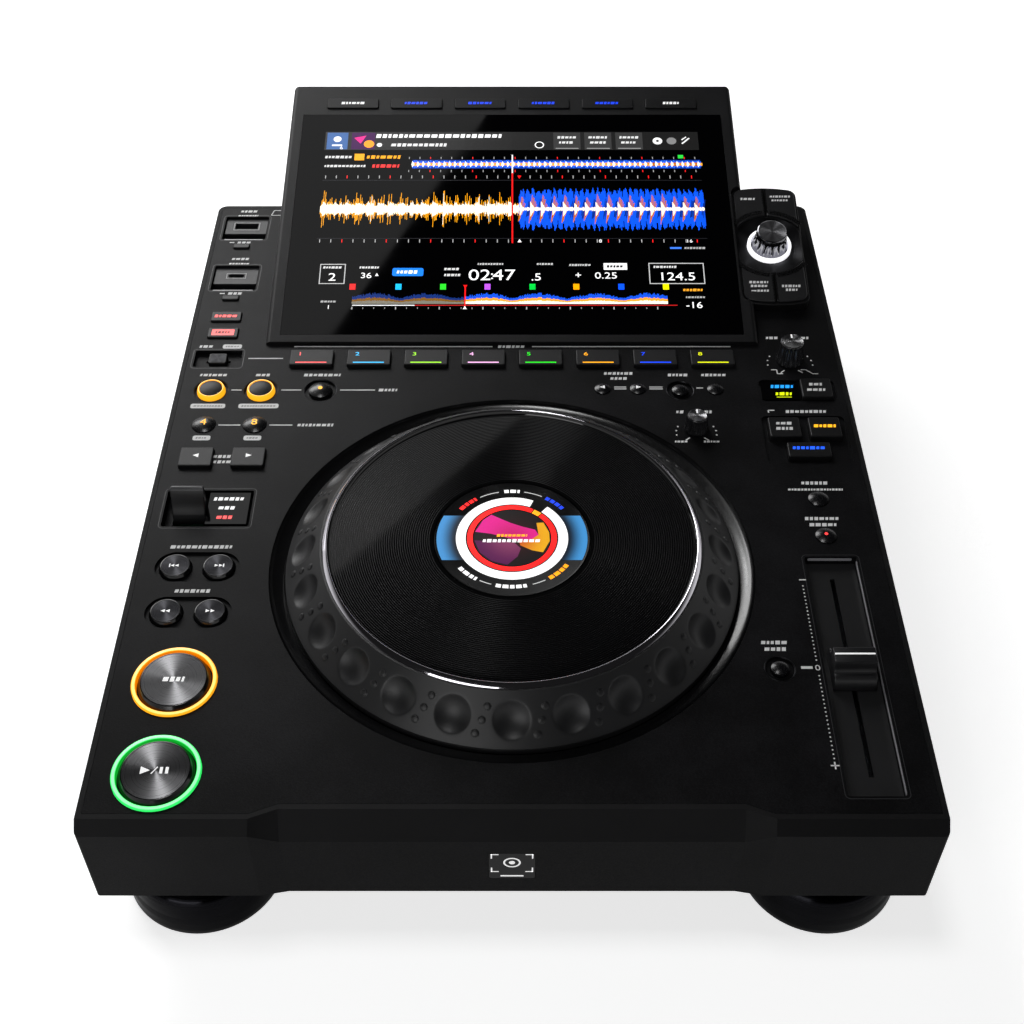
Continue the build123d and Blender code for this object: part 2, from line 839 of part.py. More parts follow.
with BuildPart() as display_housing:
    with BuildSketch(Plane.YZ.offset(-display_half_width)):
        with BuildLine():
            Polyline(
                (front_y + display_front, deck_height),
                (front_y + display_front, slope_height(display_front)),
                (front_y + display_rear, slope_height(display_rear)),
                (front_y + display_rear, rear_bottom),
                (front_y + deck_depth, deck_height),
                close=True,
            )
        make_face()
    extrude(amount=2 * display_half_width)
    fillet(display_housing.edges().filter_by(Axis.X).group_by(Axis.Z)[-1], radius=display_top_edge)
    fillet(display_housing.edges().filter_by(Axis.Z).group_by(Axis.Y)[-1], radius=display_corner)
    # hollow for the display, open downwards over the deck
    roof = display_wall / cos(tilt)
    hollow_rear = display_rear - display_wall
    with BuildSketch(Plane.YZ.offset(-display_bay_half_width)):
        with BuildLine():
            Polyline(
                (front_y + display_bay_front, deck_height - cut_past),
                (front_y + display_bay_front, slope_height(display_bay_front) - roof),
                (front_y + hollow_rear, slope_height(hollow_rear) - roof),
                (front_y + hollow_rear, underside(hollow_rear) + display_wall),
                (front_y + deck_depth, underside(deck_depth) + display_wall),
                (front_y + display_bay_back, deck_height + display_wall),
                (front_y + display_bay_back, deck_height - cut_past),
                close=True,
            )
        make_face()
    extrude(amount=2 * display_bay_half_width, mode=Mode.SUBTRACT)
    # seat for the glass, and the window behind it
    glass_middle = (glass_start + glass_end) / 2
    with BuildSketch(display_plane.offset(-glass_thickness)):
        with Locations((0, glass_middle)):
            Rectangle(2 * (glass_half_width + seam), glass_end - glass_start + 2 * seam)
    extrude(amount=2 * glass_thickness, mode=Mode.SUBTRACT)
    with BuildSketch(display_plane.offset(-2 * display_wall)):
        with Locations((0, (lcd_start + lcd_end) / 2)):
            Rectangle(2 * (lcd_half_width + seam), lcd_end - lcd_start + 2 * seam)
    extrude(amount=2 * display_wall, mode=Mode.SUBTRACT)
    # holes for the row of keys, and the notch that the encoder pod fills
    with BuildSketch(display_plane.offset(-2 * display_wall)):
        with Locations((0, display_key_place)):
            with GridLocations(display_key_pitch, 0, display_key_count, 1):
                RectangleRounded(
                    display_key_width + 2 * key_clearance,
                    display_key_length + 2 * key_clearance,
                    key_corner,
                )
    extrude(amount=3 * display_wall, mode=Mode.SUBTRACT)
    with BuildSketch(pod_plane.offset(-pod_length / 2)):
        add(pod_outline(key_clearance))
    extrude(amount=pod_length, mode=Mode.SUBTRACT)
save(display_housing, "display_housing")

with BuildPart() as display_glass:
    with BuildSketch(display_plane.offset(-glass_thickness)):
        with Locations((0, glass_middle)):
            Rectangle(2 * glass_half_width, glass_end - glass_start)
    extrude(amount=glass_thickness)
    fillet(display_glass.edges().group_by(SortBy.LENGTH)[0], radius=glass_corner)
save(display_glass, "display_glass")

with BuildPart() as lcd_panel:
    with BuildSketch(display_plane.offset(-glass_thickness)):
        with Locations((0, (lcd_start + lcd_end) / 2)):
            Rectangle(2 * lcd_half_width, lcd_end - lcd_start)
    extrude(amount=-lcd_thickness)
    # driver board on the back of the panel
    with BuildSketch(display_plane.offset(-glass_thickness - lcd_thickness)):
        with Locations((0, lcd_end - driver_board_setback)):
            Rectangle(lcd_half_width, driver_board_length)
    extrude(amount=-board_thickness)
save(lcd_panel, "lcd_panel")

with BuildPart() as display_keys:
    with BuildSketch(display_plane.offset(-display_wall - key_flange_gap)):
        with Locations((0, display_key_place)):
            with GridLocations(display_key_pitch, 0, display_key_count, 1):
                RectangleRounded(display_key_width, display_key_length, key_corner)
    extrude(amount=display_wall + key_flange_gap + display_key_rise)
    fillet(display_keys.faces().filter_by(display_plane).group_by(Axis.Z)[-1].edges(), radius=fine_edge)
    # shared carrier strip that ties the six caps to one mat
    with BuildSketch(display_plane.offset(-display_wall - key_flange_gap)):
        with Locations((0, display_key_place)):
            Rectangle(display_key_pitch * (display_key_count - 1) + display_key_width, display_key_length)
    extrude(amount=-key_flange_thickness)
save(display_keys, "display_keys")


# ------------------------------------------------------------------ encoder pod
def pod_key_areas(grow):
    """The four key outlines around the dish, grown by a clearance."""
    keep_out = dish_radius + pod_key_gap / 2 - grow
    with BuildSketch() as areas:
        add(pod_outline(-pod_rim + grow))
        with Locations((0, pod_knob_place)):
            Circle(keep_out, mode=Mode.SUBTRACT)
            Rectangle(3 * pod_half_width, dish_radius, mode=Mode.SUBTRACT)
        with Locations((0, pod_length / 2)):
            Rectangle(pod_key_gap - 2 * grow, 2 * pod_length, mode=Mode.SUBTRACT)
    return areas.sketch


dish_sphere = (dish_radius**2 + dish_deep**2) / (2 * dish_deep)
dish_centre = pod_plane.offset(dish_sphere - dish_deep)
with BuildPart() as pod_block:
    with BuildSketch(pod_plane):
        add(pod_outline(0))
    extrude(amount=-pod_length / 2)
    fillet(pod_block.faces().filter_by(pod_plane).sort_by(Axis.Z)[-1].edges(), radius=pod_edge)
    split(bisect_by=Plane.XY.offset(deck_height), keep=Keep.TOP)
    with BuildSketch(pod_plane):
        add(pod_key_areas(key_clearance))
    extrude(amount=-pod_key_deep, mode=Mode.SUBTRACT)
    with Locations(dish_centre * Pos(0, pod_knob_place, 0)):
        Sphere(dish_sphere, mode=Mode.SUBTRACT)
    with BuildSketch(pod_plane):
        with Locations((0, pod_knob_place)):
            Circle(encoder_ring_outer + seam)
    extrude(amount=-dish_deep - dish_thickness, mode=Mode.SUBTRACT)
    with BuildSketch(pod_plane):
        with Locations((0, pod_knob_place)):
            Circle(encoder_shaft_radius + running_clearance)
    extrude(amount=-pod_length, mode=Mode.SUBTRACT)
save(pod_block, "encoder_pod")

with BuildPart() as pod_keys:
    with BuildSketch(pod_plane.offset(-pod_key_deep + encoder_push)):
        add(pod_key_areas(0))
    extrude(amount=pod_key_deep - encoder_push + pod_key_rise)
    chamfer(pod_keys.faces().filter_by(pod_plane).group_by(pod_up)[-1].edges(), length=fine_edge)
save(pod_keys, "pod_keys")

with BuildPart() as encoder_shaft:
    with BuildSketch(pod_plane.offset(encoder_shaft_grip - dish_deep)):
        with Locations((0, pod_knob_place)):
            Circle(encoder_shaft_radius)
    extrude(amount=-encoder_shaft_length)
save(encoder_shaft, "encoder_shaft")

with BuildPart() as encoder_knob:
    base_plane = pod_plane.offset(-dish_deep + encoder_push + 2 * key_clearance)
    with BuildSketch(base_plane):
        with Locations((0, pod_knob_place)):
            Circle(encoder_base_radius)
    with BuildSketch(base_plane.offset(encoder_height)):
        with Locations((0, pod_knob_place)):
            Circle(encoder_top_radius)
    loft()
    fillet(encoder_knob.faces().filter_by(pod_plane).sort_by(Axis.Z)[-1].edges(), radius=pod_edge)
    # flutes around the skirt
    with BuildSketch(base_plane):
        with Locations((0, pod_knob_place)):
            with PolarLocations(encoder_base_radius + encoder_flute_radius / 2, encoder_flutes):
                Circle(encoder_flute_radius)
    extrude(amount=encoder_height * encoder_flute_share, mode=Mode.SUBTRACT)
    with BuildSketch(base_plane):
        with Locations((0, pod_knob_place)):
            Circle(encoder_shaft_radius + running_clearance)
    extrude(amount=encoder_shaft_grip + seam, mode=Mode.SUBTRACT)
save(encoder_knob, "encoder_knob")


# ------------------------------------------------------------------ jog wheel
def turned(points, middle_y):
    """A ring turned about the vertical axis through the jog's or a knob's middle."""
    with BuildPart() as ring:
        with BuildSketch(Plane.XZ.offset(-middle_y)):
            with BuildLine():
                Polyline(*[(radius, height) for radius, height in points], close=True)
            make_face()
        revolve(axis=Axis((0, middle_y, 0), (0, 0, 1)))
    return ring.part


web_top = deck_height + jog_web_rise
web_bottom = web_top - jog_web_thickness
plate_top = deck_height + plate_rise
plate_bottom = plate_top - plate_thickness
rim_bottom = deck_height - jog_rim_deep
rim_top = rim_bottom + jog_rim_band
crown = deck_height + jog_top_rise
seat_radius = plate_radius + plate_clearance
hub_bottom = well_floor + spindle_flange + spindle_shoulder + plate_clearance
bearing_bottom = well_floor + spindle_flange + spindle_shoulder
ledge_radius = seat_radius - jog_ledge
underside_radius = jog_rim_radius - jog_rim_band
web_radius = ledge_radius - jog_web_step
cone_middle_radius = (jog_rim_radius + jog_top_radius) / 2
cone_middle_height = (rim_top + crown) / 2
cone_run = jog_rim_radius - jog_top_radius
cone_rise = crown - rim_top
cone_length = sqrt(cone_run**2 + cone_rise**2)
dimple_sphere = (dimple_radius**2 + dimple_deep**2) / (2 * dimple_deep)
dimple_out = (dimple_sphere - dimple_deep) / cone_length
ring_points = [
    (bearing_radius + running_clearance, hub_bottom),
    (jog_hub_radius, hub_bottom),
    (jog_hub_radius, web_bottom),
    (web_radius, web_bottom),
    (underside_radius, rim_bottom),
    (jog_rim_radius, rim_bottom),
    (jog_rim_radius, rim_top),
    (jog_top_radius, crown),
    (seat_radius, crown),
    (seat_radius, plate_bottom),
    (ledge_radius, plate_bottom),
    (ledge_radius, web_top),
    (bearing_radius + running_clearance, web_top),
]
with BuildPart() as jog_ring:
    add(turned(ring_points, jog_y))
    # finger dimples around the sloping band, one of them straight ahead
    with Locations((0, jog_y, cone_middle_height + dimple_out * cone_run)):
        with PolarLocations(
            cone_middle_radius + dimple_out * cone_rise, dimple_count, start_angle=-90
        ):
            Sphere(dimple_sphere, mode=Mode.SUBTRACT)
save(jog_ring, "jog_ring")

plate_hole_radius = jog_display_radius + jog_display_clearance
plate_points = [
    (plate_hole_radius, plate_bottom),
    (plate_radius, plate_bottom),
    (plate_radius, plate_top + plate_rim_rise - fine_edge),
    (plate_radius - fine_edge, plate_top + plate_rim_rise),
    (plate_radius - plate_rim_width, plate_top + plate_rim_rise),
    (plate_radius - plate_rim_width - plate_rim_rise / 2, plate_top),
    (plate_hole_radius, plate_top),
]
with BuildPart() as jog_top_plate:
    add(turned(plate_points, jog_y))
save(jog_top_plate, "jog_top_plate")

head_bottom = plate_top - jog_display_thickness
head_points = [
    (0, head_bottom),
    (jog_display_radius, head_bottom),
    (jog_display_radius, plate_top - fine_edge),
    (jog_display_radius - fine_edge, plate_top),
    (0, plate_top),
]
with BuildPart() as jog_display:
    add(turned(head_points, jog_y))
save(jog_display, "jog_display")

# Spindle standing on the well's floor, and the bearing that the hub runs on.
spindle_points = [
    (spindle_radius - spindle_wall, well_floor - jog_well_floor - spindle_tail),
    (spindle_radius, well_floor - jog_well_floor - spindle_tail),
    (spindle_radius, well_floor),
    (spindle_flange_radius, well_floor),
    (spindle_flange_radius, well_floor + spindle_flange),
    (spindle_radius + spindle_shoulder_width, well_floor + spindle_flange),
    (spindle_radius + spindle_shoulder_width, bearing_bottom),
    (spindle_radius, bearing_bottom),
    (spindle_radius, head_bottom),
    (spindle_radius - spindle_wall, head_bottom),
]
bearing_points = [
    (spindle_radius, bearing_bottom),
    (bearing_radius, bearing_bottom),
    (bearing_radius, bearing_bottom + bearing_width),
    (spindle_radius, bearing_bottom + bearing_width),
]
with BuildPart() as jog_bearing:
    add(turned(spindle_points, jog_y))
    add(turned(bearing_points, jog_y))
save(jog_bearing, "jog_bearing")


# ------------------------------------------------------------------ keys
def square_key(x, back, width, length, rise=key_rise):
    """A moulded key with a rounded edge, a flange under the deck and a stem."""
    flange_top = panel_under - key_flange_gap
    flange_bottom = flange_top - key_flange_thickness
    stem_bottom = switch_top + key_travel + switch_gap
    with BuildPart() as key:
        with BuildSketch(Plane.XY.offset(flange_top)):
            with Locations(spot(x, back)):
                RectangleRounded(width, length, key_corner - key_clearance)
        extrude(amount=deck_height + rise - flange_top)
        fillet(key.faces().sort_by(Axis.Z)[-1].edges(), radius=key_edge)
        with BuildSketch(Plane.XY.offset(flange_bottom)):
            with Locations(spot(x, back)):
                Rectangle(width + key_flange, length + key_flange)
        extrude(amount=key_flange_thickness)
        with BuildSketch(Plane.XY.offset(flange_bottom)):
            with Locations(spot(x, back)):
                Circle(min(stem_radius, length / 2))
        extrude(amount=stem_bottom - flange_bottom)
    return key.part


def round_key(x, back, profile, radius, travel):
    """A round key turned from its profile, with a flange under the deck and a stem."""
    flange_top = panel_under - key_flange_gap
    flange_bottom = flange_top - key_flange_thickness
    middle_x, middle_y = spot(x, back)
    outline = [
        (0, switch_top + travel + switch_gap),
        (stem_radius, switch_top + travel + switch_gap),
        (stem_radius, flange_bottom),
        (radius + key_flange, flange_bottom),
        (radius + key_flange, flange_top),
        (radius, flange_top),
        *profile,
    ]
    with BuildPart() as key:
        with BuildSketch(Plane.XZ.offset(-middle_y)):
            with BuildLine():
                Polyline(*[(middle_x + r, height) for r, height in outline], close=True)
            make_face()
        revolve(axis=Axis((middle_x, middle_y, 0), (0, 0, 1)))
    return key.part


def domed(radius, rise, crown_height):
    """Profile of a domed cap: a straight skirt and a low round top."""
    steps = 5
    sphere = (radius**2 + crown_height**2) / (2 * crown_height)
    base = deck_height + rise
    points = [(radius, base)]
    for i in range(1, steps):
        r = radius * (1 - i / steps)
        points.append((r, base + crown_height - sphere + sqrt(sphere**2 - r**2)))
    points.append((0, base + crown_height))
    return points


def stepped(radius, face_radius, rise):
    """Profile of a transport key: a sloping skirt around a flat metal face."""
    top = deck_height + rise
    return [
        (radius, top - skirt_drop),
        (face_radius + skirt_edge, top - fine_edge),
        (face_radius, top),
        (0, top),
    ]


for name, (x, back, width, length) in square_keys.items():
    with BuildPart() as square:
        add(square_key(x, back, width, length))
    save(square, name)

with BuildPart() as side_group:
    for x, back, width, length in side_keys:
        add(square_key(x, back, width, length, rise=key_rise / 2))
save(side_group, "side_keys")

for name, (x, back) in cue_keys.items():
    with BuildPart() as transport:
        profile = stepped(cue_radius, cue_face_radius, key_rise)
        add(round_key(x, back, profile, cue_radius, big_key_travel))
    save(transport, name)

for name, (x, back) in skip_keys.items():
    with BuildPart() as skip:
        profile = stepped(skip_radius, skip_radius - skip_bevel, key_rise / 2)
        add(round_key(x, back, profile, skip_radius, key_travel))
    save(skip, name)

for name, (x, back) in loop_keys.items():
    with BuildPart() as loop:
        profile = domed(loop_radius, key_rise / 2, loop_dome)
        add(round_key(x, back, profile, loop_radius, key_travel))
    save(loop, name)

for name, (x, back, radius) in dome_keys.items():
    with BuildPart() as dome:
        profile = domed(radius, dome_rise, radius * dome_share)
        add(round_key(x, back, profile, radius, key_travel))
    save(dome, name)

with BuildPart() as call_group:
    for x, back in call_keys:
        profile = domed(dot_radius, dome_rise, dot_radius * dome_share)
        add(round_key(x, back, profile, dot_radius, key_travel))
save(call_group, "call_keys")


# ------------------------------------------------------------------ knobs
def fluted_knob(x, back, base_radius, top_radius, height):
    """A ribbed knob on a potentiometer's shaft."""
    middle_x, middle_y = spot(x, back)
    bottom = deck_height + knob_gap
    with BuildPart() as knob:
        with BuildSketch(Plane.XY.offset(bottom)):
            with Locations((middle_x, middle_y)):
                Circle(base_radius)
        with BuildSketch(Plane.XY.offset(bottom + height)):
            with Locations((middle_x, middle_y)):
                Circle(top_radius)
        loft()
        chamfer(knob.faces().sort_by(Axis.Z)[-1].edges(), length=knob_edge)
        with BuildSketch(Plane.XY.offset(bottom)):
            with Locations((middle_x, middle_y)):
                with PolarLocations(base_radius + knob_flute_radius / 3, knob_flutes):
                    Circle(knob_flute_radius)
        extrude(amount=height * knob_flute_share, mode=Mode.SUBTRACT)
        with BuildSketch(Plane.XY.offset(board_top + pot_height + knob_gap)):
            with Locations((middle_x, middle_y)):
                Circle(pot_radius)
        extrude(amount=bottom - board_top - pot_height)
    return knob.part


knob_sizes = {
    "brake_speed_knob": (knob_base_radius, knob_top_radius, knob_height),
    "jog_weight_knob": (small_knob_base_radius, small_knob_top_radius, small_knob_height),
}
for name, (x, back) in knobs.items():
    with BuildPart() as dial_knob:
        add(fluted_knob(x, back, *knob_sizes[name]))
    save(dial_knob, name)


# ------------------------------------------------------------------ tempo fader
fader_y = front_y + fader_back
fader_floor = deck_height - fader_recess_deep
rail_top = fader_floor - tub_wall
with BuildPart() as fader_cap:
    cap_bottom = fader_floor + knob_gap
    cap_top = deck_height + fader_cap_rise
    with BuildSketch(Plane.YZ.offset(right_column - fader_cap_width / 2)):
        with BuildLine():
            Polyline(
                (fader_y - fader_cap_length / 2, cap_bottom),
                (fader_y - fader_cap_length / 2, deck_height - fader_cap_foot),
                (fader_y - fader_cap_top / 2 - fader_cap_flare, cap_top - fader_cap_shoulder),
                (fader_y - fader_cap_top / 2, cap_top),
                (fader_y + fader_cap_top / 2, cap_top),
                (fader_y + fader_cap_top / 2 + fader_cap_flare, cap_top - fader_cap_shoulder),
                (fader_y + fader_cap_length / 2, deck_height - fader_cap_foot),
                (fader_y + fader_cap_length / 2, cap_bottom),
                close=True,
            )
        make_face()
    extrude(amount=fader_cap_width)
    fillet(fader_cap.edges().filter_by(Axis.X).group_by(Axis.Z)[-1], radius=fader_cap_edge)
    with BuildSketch(Plane.XY.offset(cap_bottom)):
        with Locations((right_column, fader_y)):
            Rectangle(fader_stem_width, fader_stem_length)
    extrude(amount=-fader_stem_reach)
save(fader_cap, "tempo_fader_cap")

with BuildPart() as fader_rail:
    rail_length = fader_recess_length - rail_margin
    with BuildSketch(Plane.XY.offset(board_top)):
        with Locations((right_column, fader_y)):
            Rectangle(rail_width, rail_length)
    extrude(amount=rail_top - board_top)
    with BuildSketch(Plane.XY.offset(board_top + rail_floor)):
        with Locations((right_column, fader_y)):
            Rectangle(rail_channel, 2 * fader_travel + fader_stem_length + rail_margin)
    extrude(amount=rail_top - board_top, mode=Mode.SUBTRACT)
save(fader_rail, "fader_rail")


# ------------------------------------------------------------------ direction lever and call toggle
lever_y = front_y + lever_place[1]
lever_floor = deck_height - lever_well_deep
lever_top = deck_height + lever_rise
with BuildPart() as direction_lever:
    with BuildSketch(Plane.YZ.offset(lever_column - lever_width / 2)):
        with BuildLine():
            Polyline(
                (lever_y - lever_half_foot, lever_floor - lever_tail),
                (lever_y + lever_half_foot, lever_floor - lever_tail),
                (lever_y + lever_back_edge, lever_top - lever_tail),
                (lever_y + lever_back_crown, lever_top),
                (lever_y + lever_lip, lever_top - lever_hollow),
                (lever_y - lever_hollow, deck_height + lever_hollow_rise),
                (lever_y - lever_front_foot, deck_height - lever_tail),
                close=True,
            )
        make_face()
    extrude(amount=lever_width)
    with BuildSketch(Plane.XY.offset(lever_floor - lever_tail)):
        with Locations((lever_column, lever_y)):
            Rectangle(stem_radius * 2, stem_radius * 2)
    extrude(amount=board_top + knob_gap - lever_floor + lever_tail)
save(direction_lever, "direction_lever")

toggle_x, toggle_y = spot(*toggle_place)
toggle_floor = deck_height - toggle_well_deep
with BuildPart() as call_toggle:
    with BuildSketch(Plane.XY.offset(toggle_floor + key_clearance)):
        with Locations((toggle_x, toggle_y)):
            RectangleRounded(toggle_cap_width, toggle_cap_length, key_corner)
    extrude(amount=toggle_rise)
    fillet(call_toggle.faces().sort_by(Axis.Z)[-1].edges(), radius=key_edge)
    with BuildSketch(Plane.XY.offset(toggle_floor + key_clearance)):
        with Locations((toggle_x, toggle_y)):
            Rectangle(toggle_stem_width, fader_stem_width)
    extrude(amount=board_top + knob_gap - toggle_floor)
save(call_toggle, "call_toggle")


# ------------------------------------------------------------------ lit rings and gloss windows
def light_ring(x, back, outer, inner, seat, top):
    """A clear ring standing in its seat on the deck."""
    with BuildPart() as ring:
        with BuildSketch(Plane.XY.offset(seat)):
            with Locations(spot(x, back)):
                Circle(outer)
                Circle(inner, mode=Mode.SUBTRACT)
        extrude(amount=top - seat)
    return ring.part


with BuildPart() as light_rings:
    for x, back in cue_keys.values():
        ring_seat = deck_height - ring_seat_deep
        add(light_ring(x, back, cue_ring_outer, cue_ring_inner, ring_seat, deck_height + cue_ring_rise))
    for x, back in loop_keys.values():
        ring_seat = deck_height - recess_deep
        add(light_ring(x, back, loop_ring_outer, loop_ring_inner, ring_seat, deck_height + loop_ring_rise))
    with BuildSketch(pod_plane.offset(-dish_deep - dish_thickness)):
        with Locations((0, pod_knob_place)):
            Circle(encoder_ring_outer)
            Circle(encoder_ring_inner, mode=Mode.SUBTRACT)
    extrude(amount=dish_thickness + encoder_ring_rise)
save(light_rings, "light_rings")

with BuildPart() as gloss_windows:
    with BuildSketch(Plane.XY.offset(deck_height - recess_deep)):
        with Locations(spot(*mode_window_place)):
            RectangleRounded(mode_window_width, mode_key_length, key_corner)
    extrude(amount=recess_deep)
    with BuildSketch(Plane.XY.offset(lever_floor)):
        with Locations(spot(*lever_window_place)):
            Rectangle(lever_window_width, lever_window_length)
    extrude(amount=lever_well_deep)
    with BuildSketch(badge_plane):
        RectangleRounded(badge_width - 2 * window_gap, badge_length - 2 * window_gap, badge_corner)
    extrude(amount=-recess_deep)
save(gloss_windows, "gloss_windows")


# ------------------------------------------------------------------ sockets
def port(width, length, corner, place, height):
    """A USB port: a plastic block in its well with a metal shell and a tongue in it."""
    x, back = place
    middle = spot(x, back + usb_block_back)
    top = deck_height - usb_block_deep
    shell = 2 * port_shell
    with BuildPart() as block:
        with BuildSketch(Plane.XY.offset(board_top)):
            with Locations(middle):
                Rectangle(usb_block_width, usb_block_length)
        extrude(amount=top - board_top)
        with BuildSketch(Plane.XY.offset(top - usb_cover_height)):
            with Locations(middle):
                Rectangle(usb_cover_width, usb_cover_length)
        extrude(amount=usb_cover_height)
        with BuildSketch(Plane.XY.offset(top)):
            with Locations(middle):
                RectangleRounded(width, length, corner)
        extrude(amount=-height, mode=Mode.SUBTRACT)
        with BuildSketch(Plane.XY.offset(top - height)):
            with Locations(middle):
                Rectangle(width - 2 * shell, length / 4)
        extrude(amount=height - port_tongue_setback)
    return block.part


def socket_box(x, width, height, depth, cavity_width, cavity_height, cavity_depth):
    """A socket's box through the rear wall, open towards the rear."""
    with BuildPart() as box:
        with BuildSketch(rear_plane):
            with Locations((-x, 0)):
                Rectangle(width, height)
        extrude(amount=-depth)
        with BuildSketch(rear_plane):
            with Locations((-x, 0)):
                Rectangle(cavity_width, cavity_height)
        extrude(amount=-cavity_depth, mode=Mode.SUBTRACT)
    return box.part


phono_places = [(-phono_x + i * phono_pitch, 0) for i in range(phono_count)]
with BuildPart() as connectors:
    add(port(usb_a_width, usb_a_length, port_corner, usb_a_place, port_depth))
    add(port(usb_c_width, usb_c_length, usb_c_length / 2 - hair, usb_c_place, port_depth))
    # phono sockets: bodies behind the wall, hollow barrels through it
    with BuildSketch(rear_plane.offset(-wall)):
        with Locations(*phono_places):
            Rectangle(socket_body, socket_body)
    extrude(amount=-phono_body_depth)
    with BuildSketch(rear_plane.offset(-wall)):
        with Locations(*phono_places):
            Circle(phono_radius + phono_collar)
    extrude(amount=wall)
    with BuildSketch(rear_plane):
        with Locations(*phono_places):
            Circle(phono_radius)
    extrude(amount=phono_length)
    with BuildSketch(rear_plane.offset(phono_length)):
        with Locations(*phono_places):
            Circle(phono_bore)
    extrude(amount=-phono_length, mode=Mode.SUBTRACT)
    # network and computer sockets, and the mains inlet with its three pins
    network_box_width = network_width + 2 * socket_wall
    network_box_depth = network_depth + socket_wall
    network_cavity = (network_width, network_height, network_depth)
    add(socket_box(network_x, network_box_width, socket_body, network_box_depth, *network_cavity))
    usb_b_cavity = (socket_body - 2 * socket_wall, socket_body - 2 * socket_wall, port_depth)
    add(socket_box(usb_b_x, socket_body, socket_body, port_depth + socket_wall, *usb_b_cavity))
    with BuildSketch(rear_plane.offset(-port_depth)):
        with Locations((-usb_b_x, 0)):
            Rectangle(post_width, post_height)
    extrude(amount=port_depth - post_setback)
    inlet_box = (inlet_width + 2 * socket_wall, inlet_height + 2 * socket_wall, inlet_depth + socket_wall)
    add(socket_box(inlet_x, *inlet_box, inlet_width, inlet_height, inlet_depth))
    with BuildSketch(rear_plane.offset(-inlet_depth)):
        with Locations((-inlet_x - pin_spread, -pin_rise), (-inlet_x + pin_spread, -pin_rise)):
            Rectangle(pin_width, pin_height)
        with Locations((-inlet_x, pin_rise)):
            Rectangle(pin_width, pin_height)
    extrude(amount=inlet_pin_length)
save(connectors, "connectors")

with BuildPart() as power_button:
    with BuildSketch(rear_plane.offset(-wall - power_key_reach)):
        with Locations((-power_key_x, 0)):
            Circle(power_key_radius)
    extrude(amount=wall + power_key_reach + power_key_stand)
    fillet(power_button.edges().group_by(Axis.Y)[-1], radius=power_key_edge)
    with BuildSketch(rear_plane.offset(-wall - power_key_reach)):
        with Locations((-power_key_x, 0)):
            Circle(stem_radius)
    extrude(amount=-power_stem)
save(power_button, "power_button")


# ------------------------------------------------------------------ circuit boards
jack_board_top = socket_height - socket_body / 2
board_under = board_top - board_thickness
left_board_x = left_column + left_board_inset
right_board_x = right_column - right_board_inset
control_boards = [
    (spot(left_board_x, side_board_back), left_board_width, side_board_length),
    (spot(*middle_board_place), middle_board_width, middle_board_length),
    (spot(right_board_x, side_board_back), right_board_width, side_board_length),
]
left_post_x = left_board_x + left_board_width / 2 - left_post_inset
right_post_x = right_board_x - right_board_width / 2 + right_post_inset
board_posts = [
    *[(left_post_x, back) for back in left_post_rows],
    *middle_posts,
    *[(right_post_x, back) for back in right_post_rows],
]
power_stem_end = socket_face - wall - power_key_reach - power_stem
power_switch_y = power_stem_end - power_key_travel - switch_gap - power_switch_depth / 2
key_spots = [(x, back) for x, back, width, length in [*square_keys.values(), *side_keys]]
key_spots += [*skip_keys.values(), *loop_keys.values(), *call_keys, *cue_keys.values()]
key_spots += [(x, back) for x, back, radius in dome_keys.values()]
with BuildPart() as circuit_boards:
    # control boards under the deck, with their spacers, switches and potentiometers
    with BuildSketch(Plane.XY.offset(board_under)):
        for place, width, length in control_boards:
            with Locations(place):
                Rectangle(width, length)
    extrude(amount=board_thickness)
    with BuildSketch(Plane.XY.offset(board_top)):
        for x, back in board_posts:
            with Locations(spot(x, back)):
                Circle(post_radius)
    extrude(amount=panel_under - board_top)
    with BuildSketch(Plane.XY.offset(board_top)):
        for x, back in key_spots:
            with Locations(spot(x, back)):
                Circle(switch_radius)
    extrude(amount=switch_height)
    with BuildSketch(Plane.XY.offset(board_top)):
        for x, back in knobs.values():
            with Locations(spot(x, back)):
                Rectangle(pot_width, pot_width)
    extrude(amount=pot_height)
    with BuildSketch(Plane.XY.offset(board_top)):
        with Locations(spot(pod_x, encoder_hole_back)):
            Circle(2 * encoder_shaft_radius)
    extrude(amount=2 * switch_height)
    # main board and power board on the chassis
    with BuildSketch(Plane.XY.offset(main_board_z)):
        with Locations(spot(0, main_board_back)):
            Rectangle(main_board_width, main_board_length)
    extrude(amount=board_thickness)
    with BuildSketch(Plane.XY.offset(main_board_z + board_thickness)):
        for x, back, size in chip_places:
            with Locations(spot(x, back)):
                Rectangle(size, size)
    extrude(amount=chip_height)
    with BuildSketch(Plane.XY.offset(main_board_z)):
        with Locations(spot(*power_board_place)):
            Rectangle(power_board_width, power_board_length)
    extrude(amount=board_thickness)
    with BuildSketch(Plane.XY.offset(main_board_z + board_thickness)):
        with Locations(spot(power_board_place[0] - transformer_offset, power_board_place[1])):
            Rectangle(transformer_width, transformer_length)
    extrude(amount=transformer_height)
    # jack board under the rear sockets, and the power key's switch under the right board
    with BuildSketch(Plane.XY.offset(jack_board_top - board_thickness)):
        with Locations(spot(*jack_board_place)):
            Rectangle(jack_board_width, jack_board_length)
    extrude(amount=board_thickness)
    with BuildSketch(Plane.XY.offset(socket_height - power_key_radius)):
        with Locations((power_key_x, power_switch_y)):
            Rectangle(2 * power_key_radius, power_switch_depth)
    extrude(amount=board_under - socket_height + power_key_radius)
save(circuit_boards, "circuit_boards")

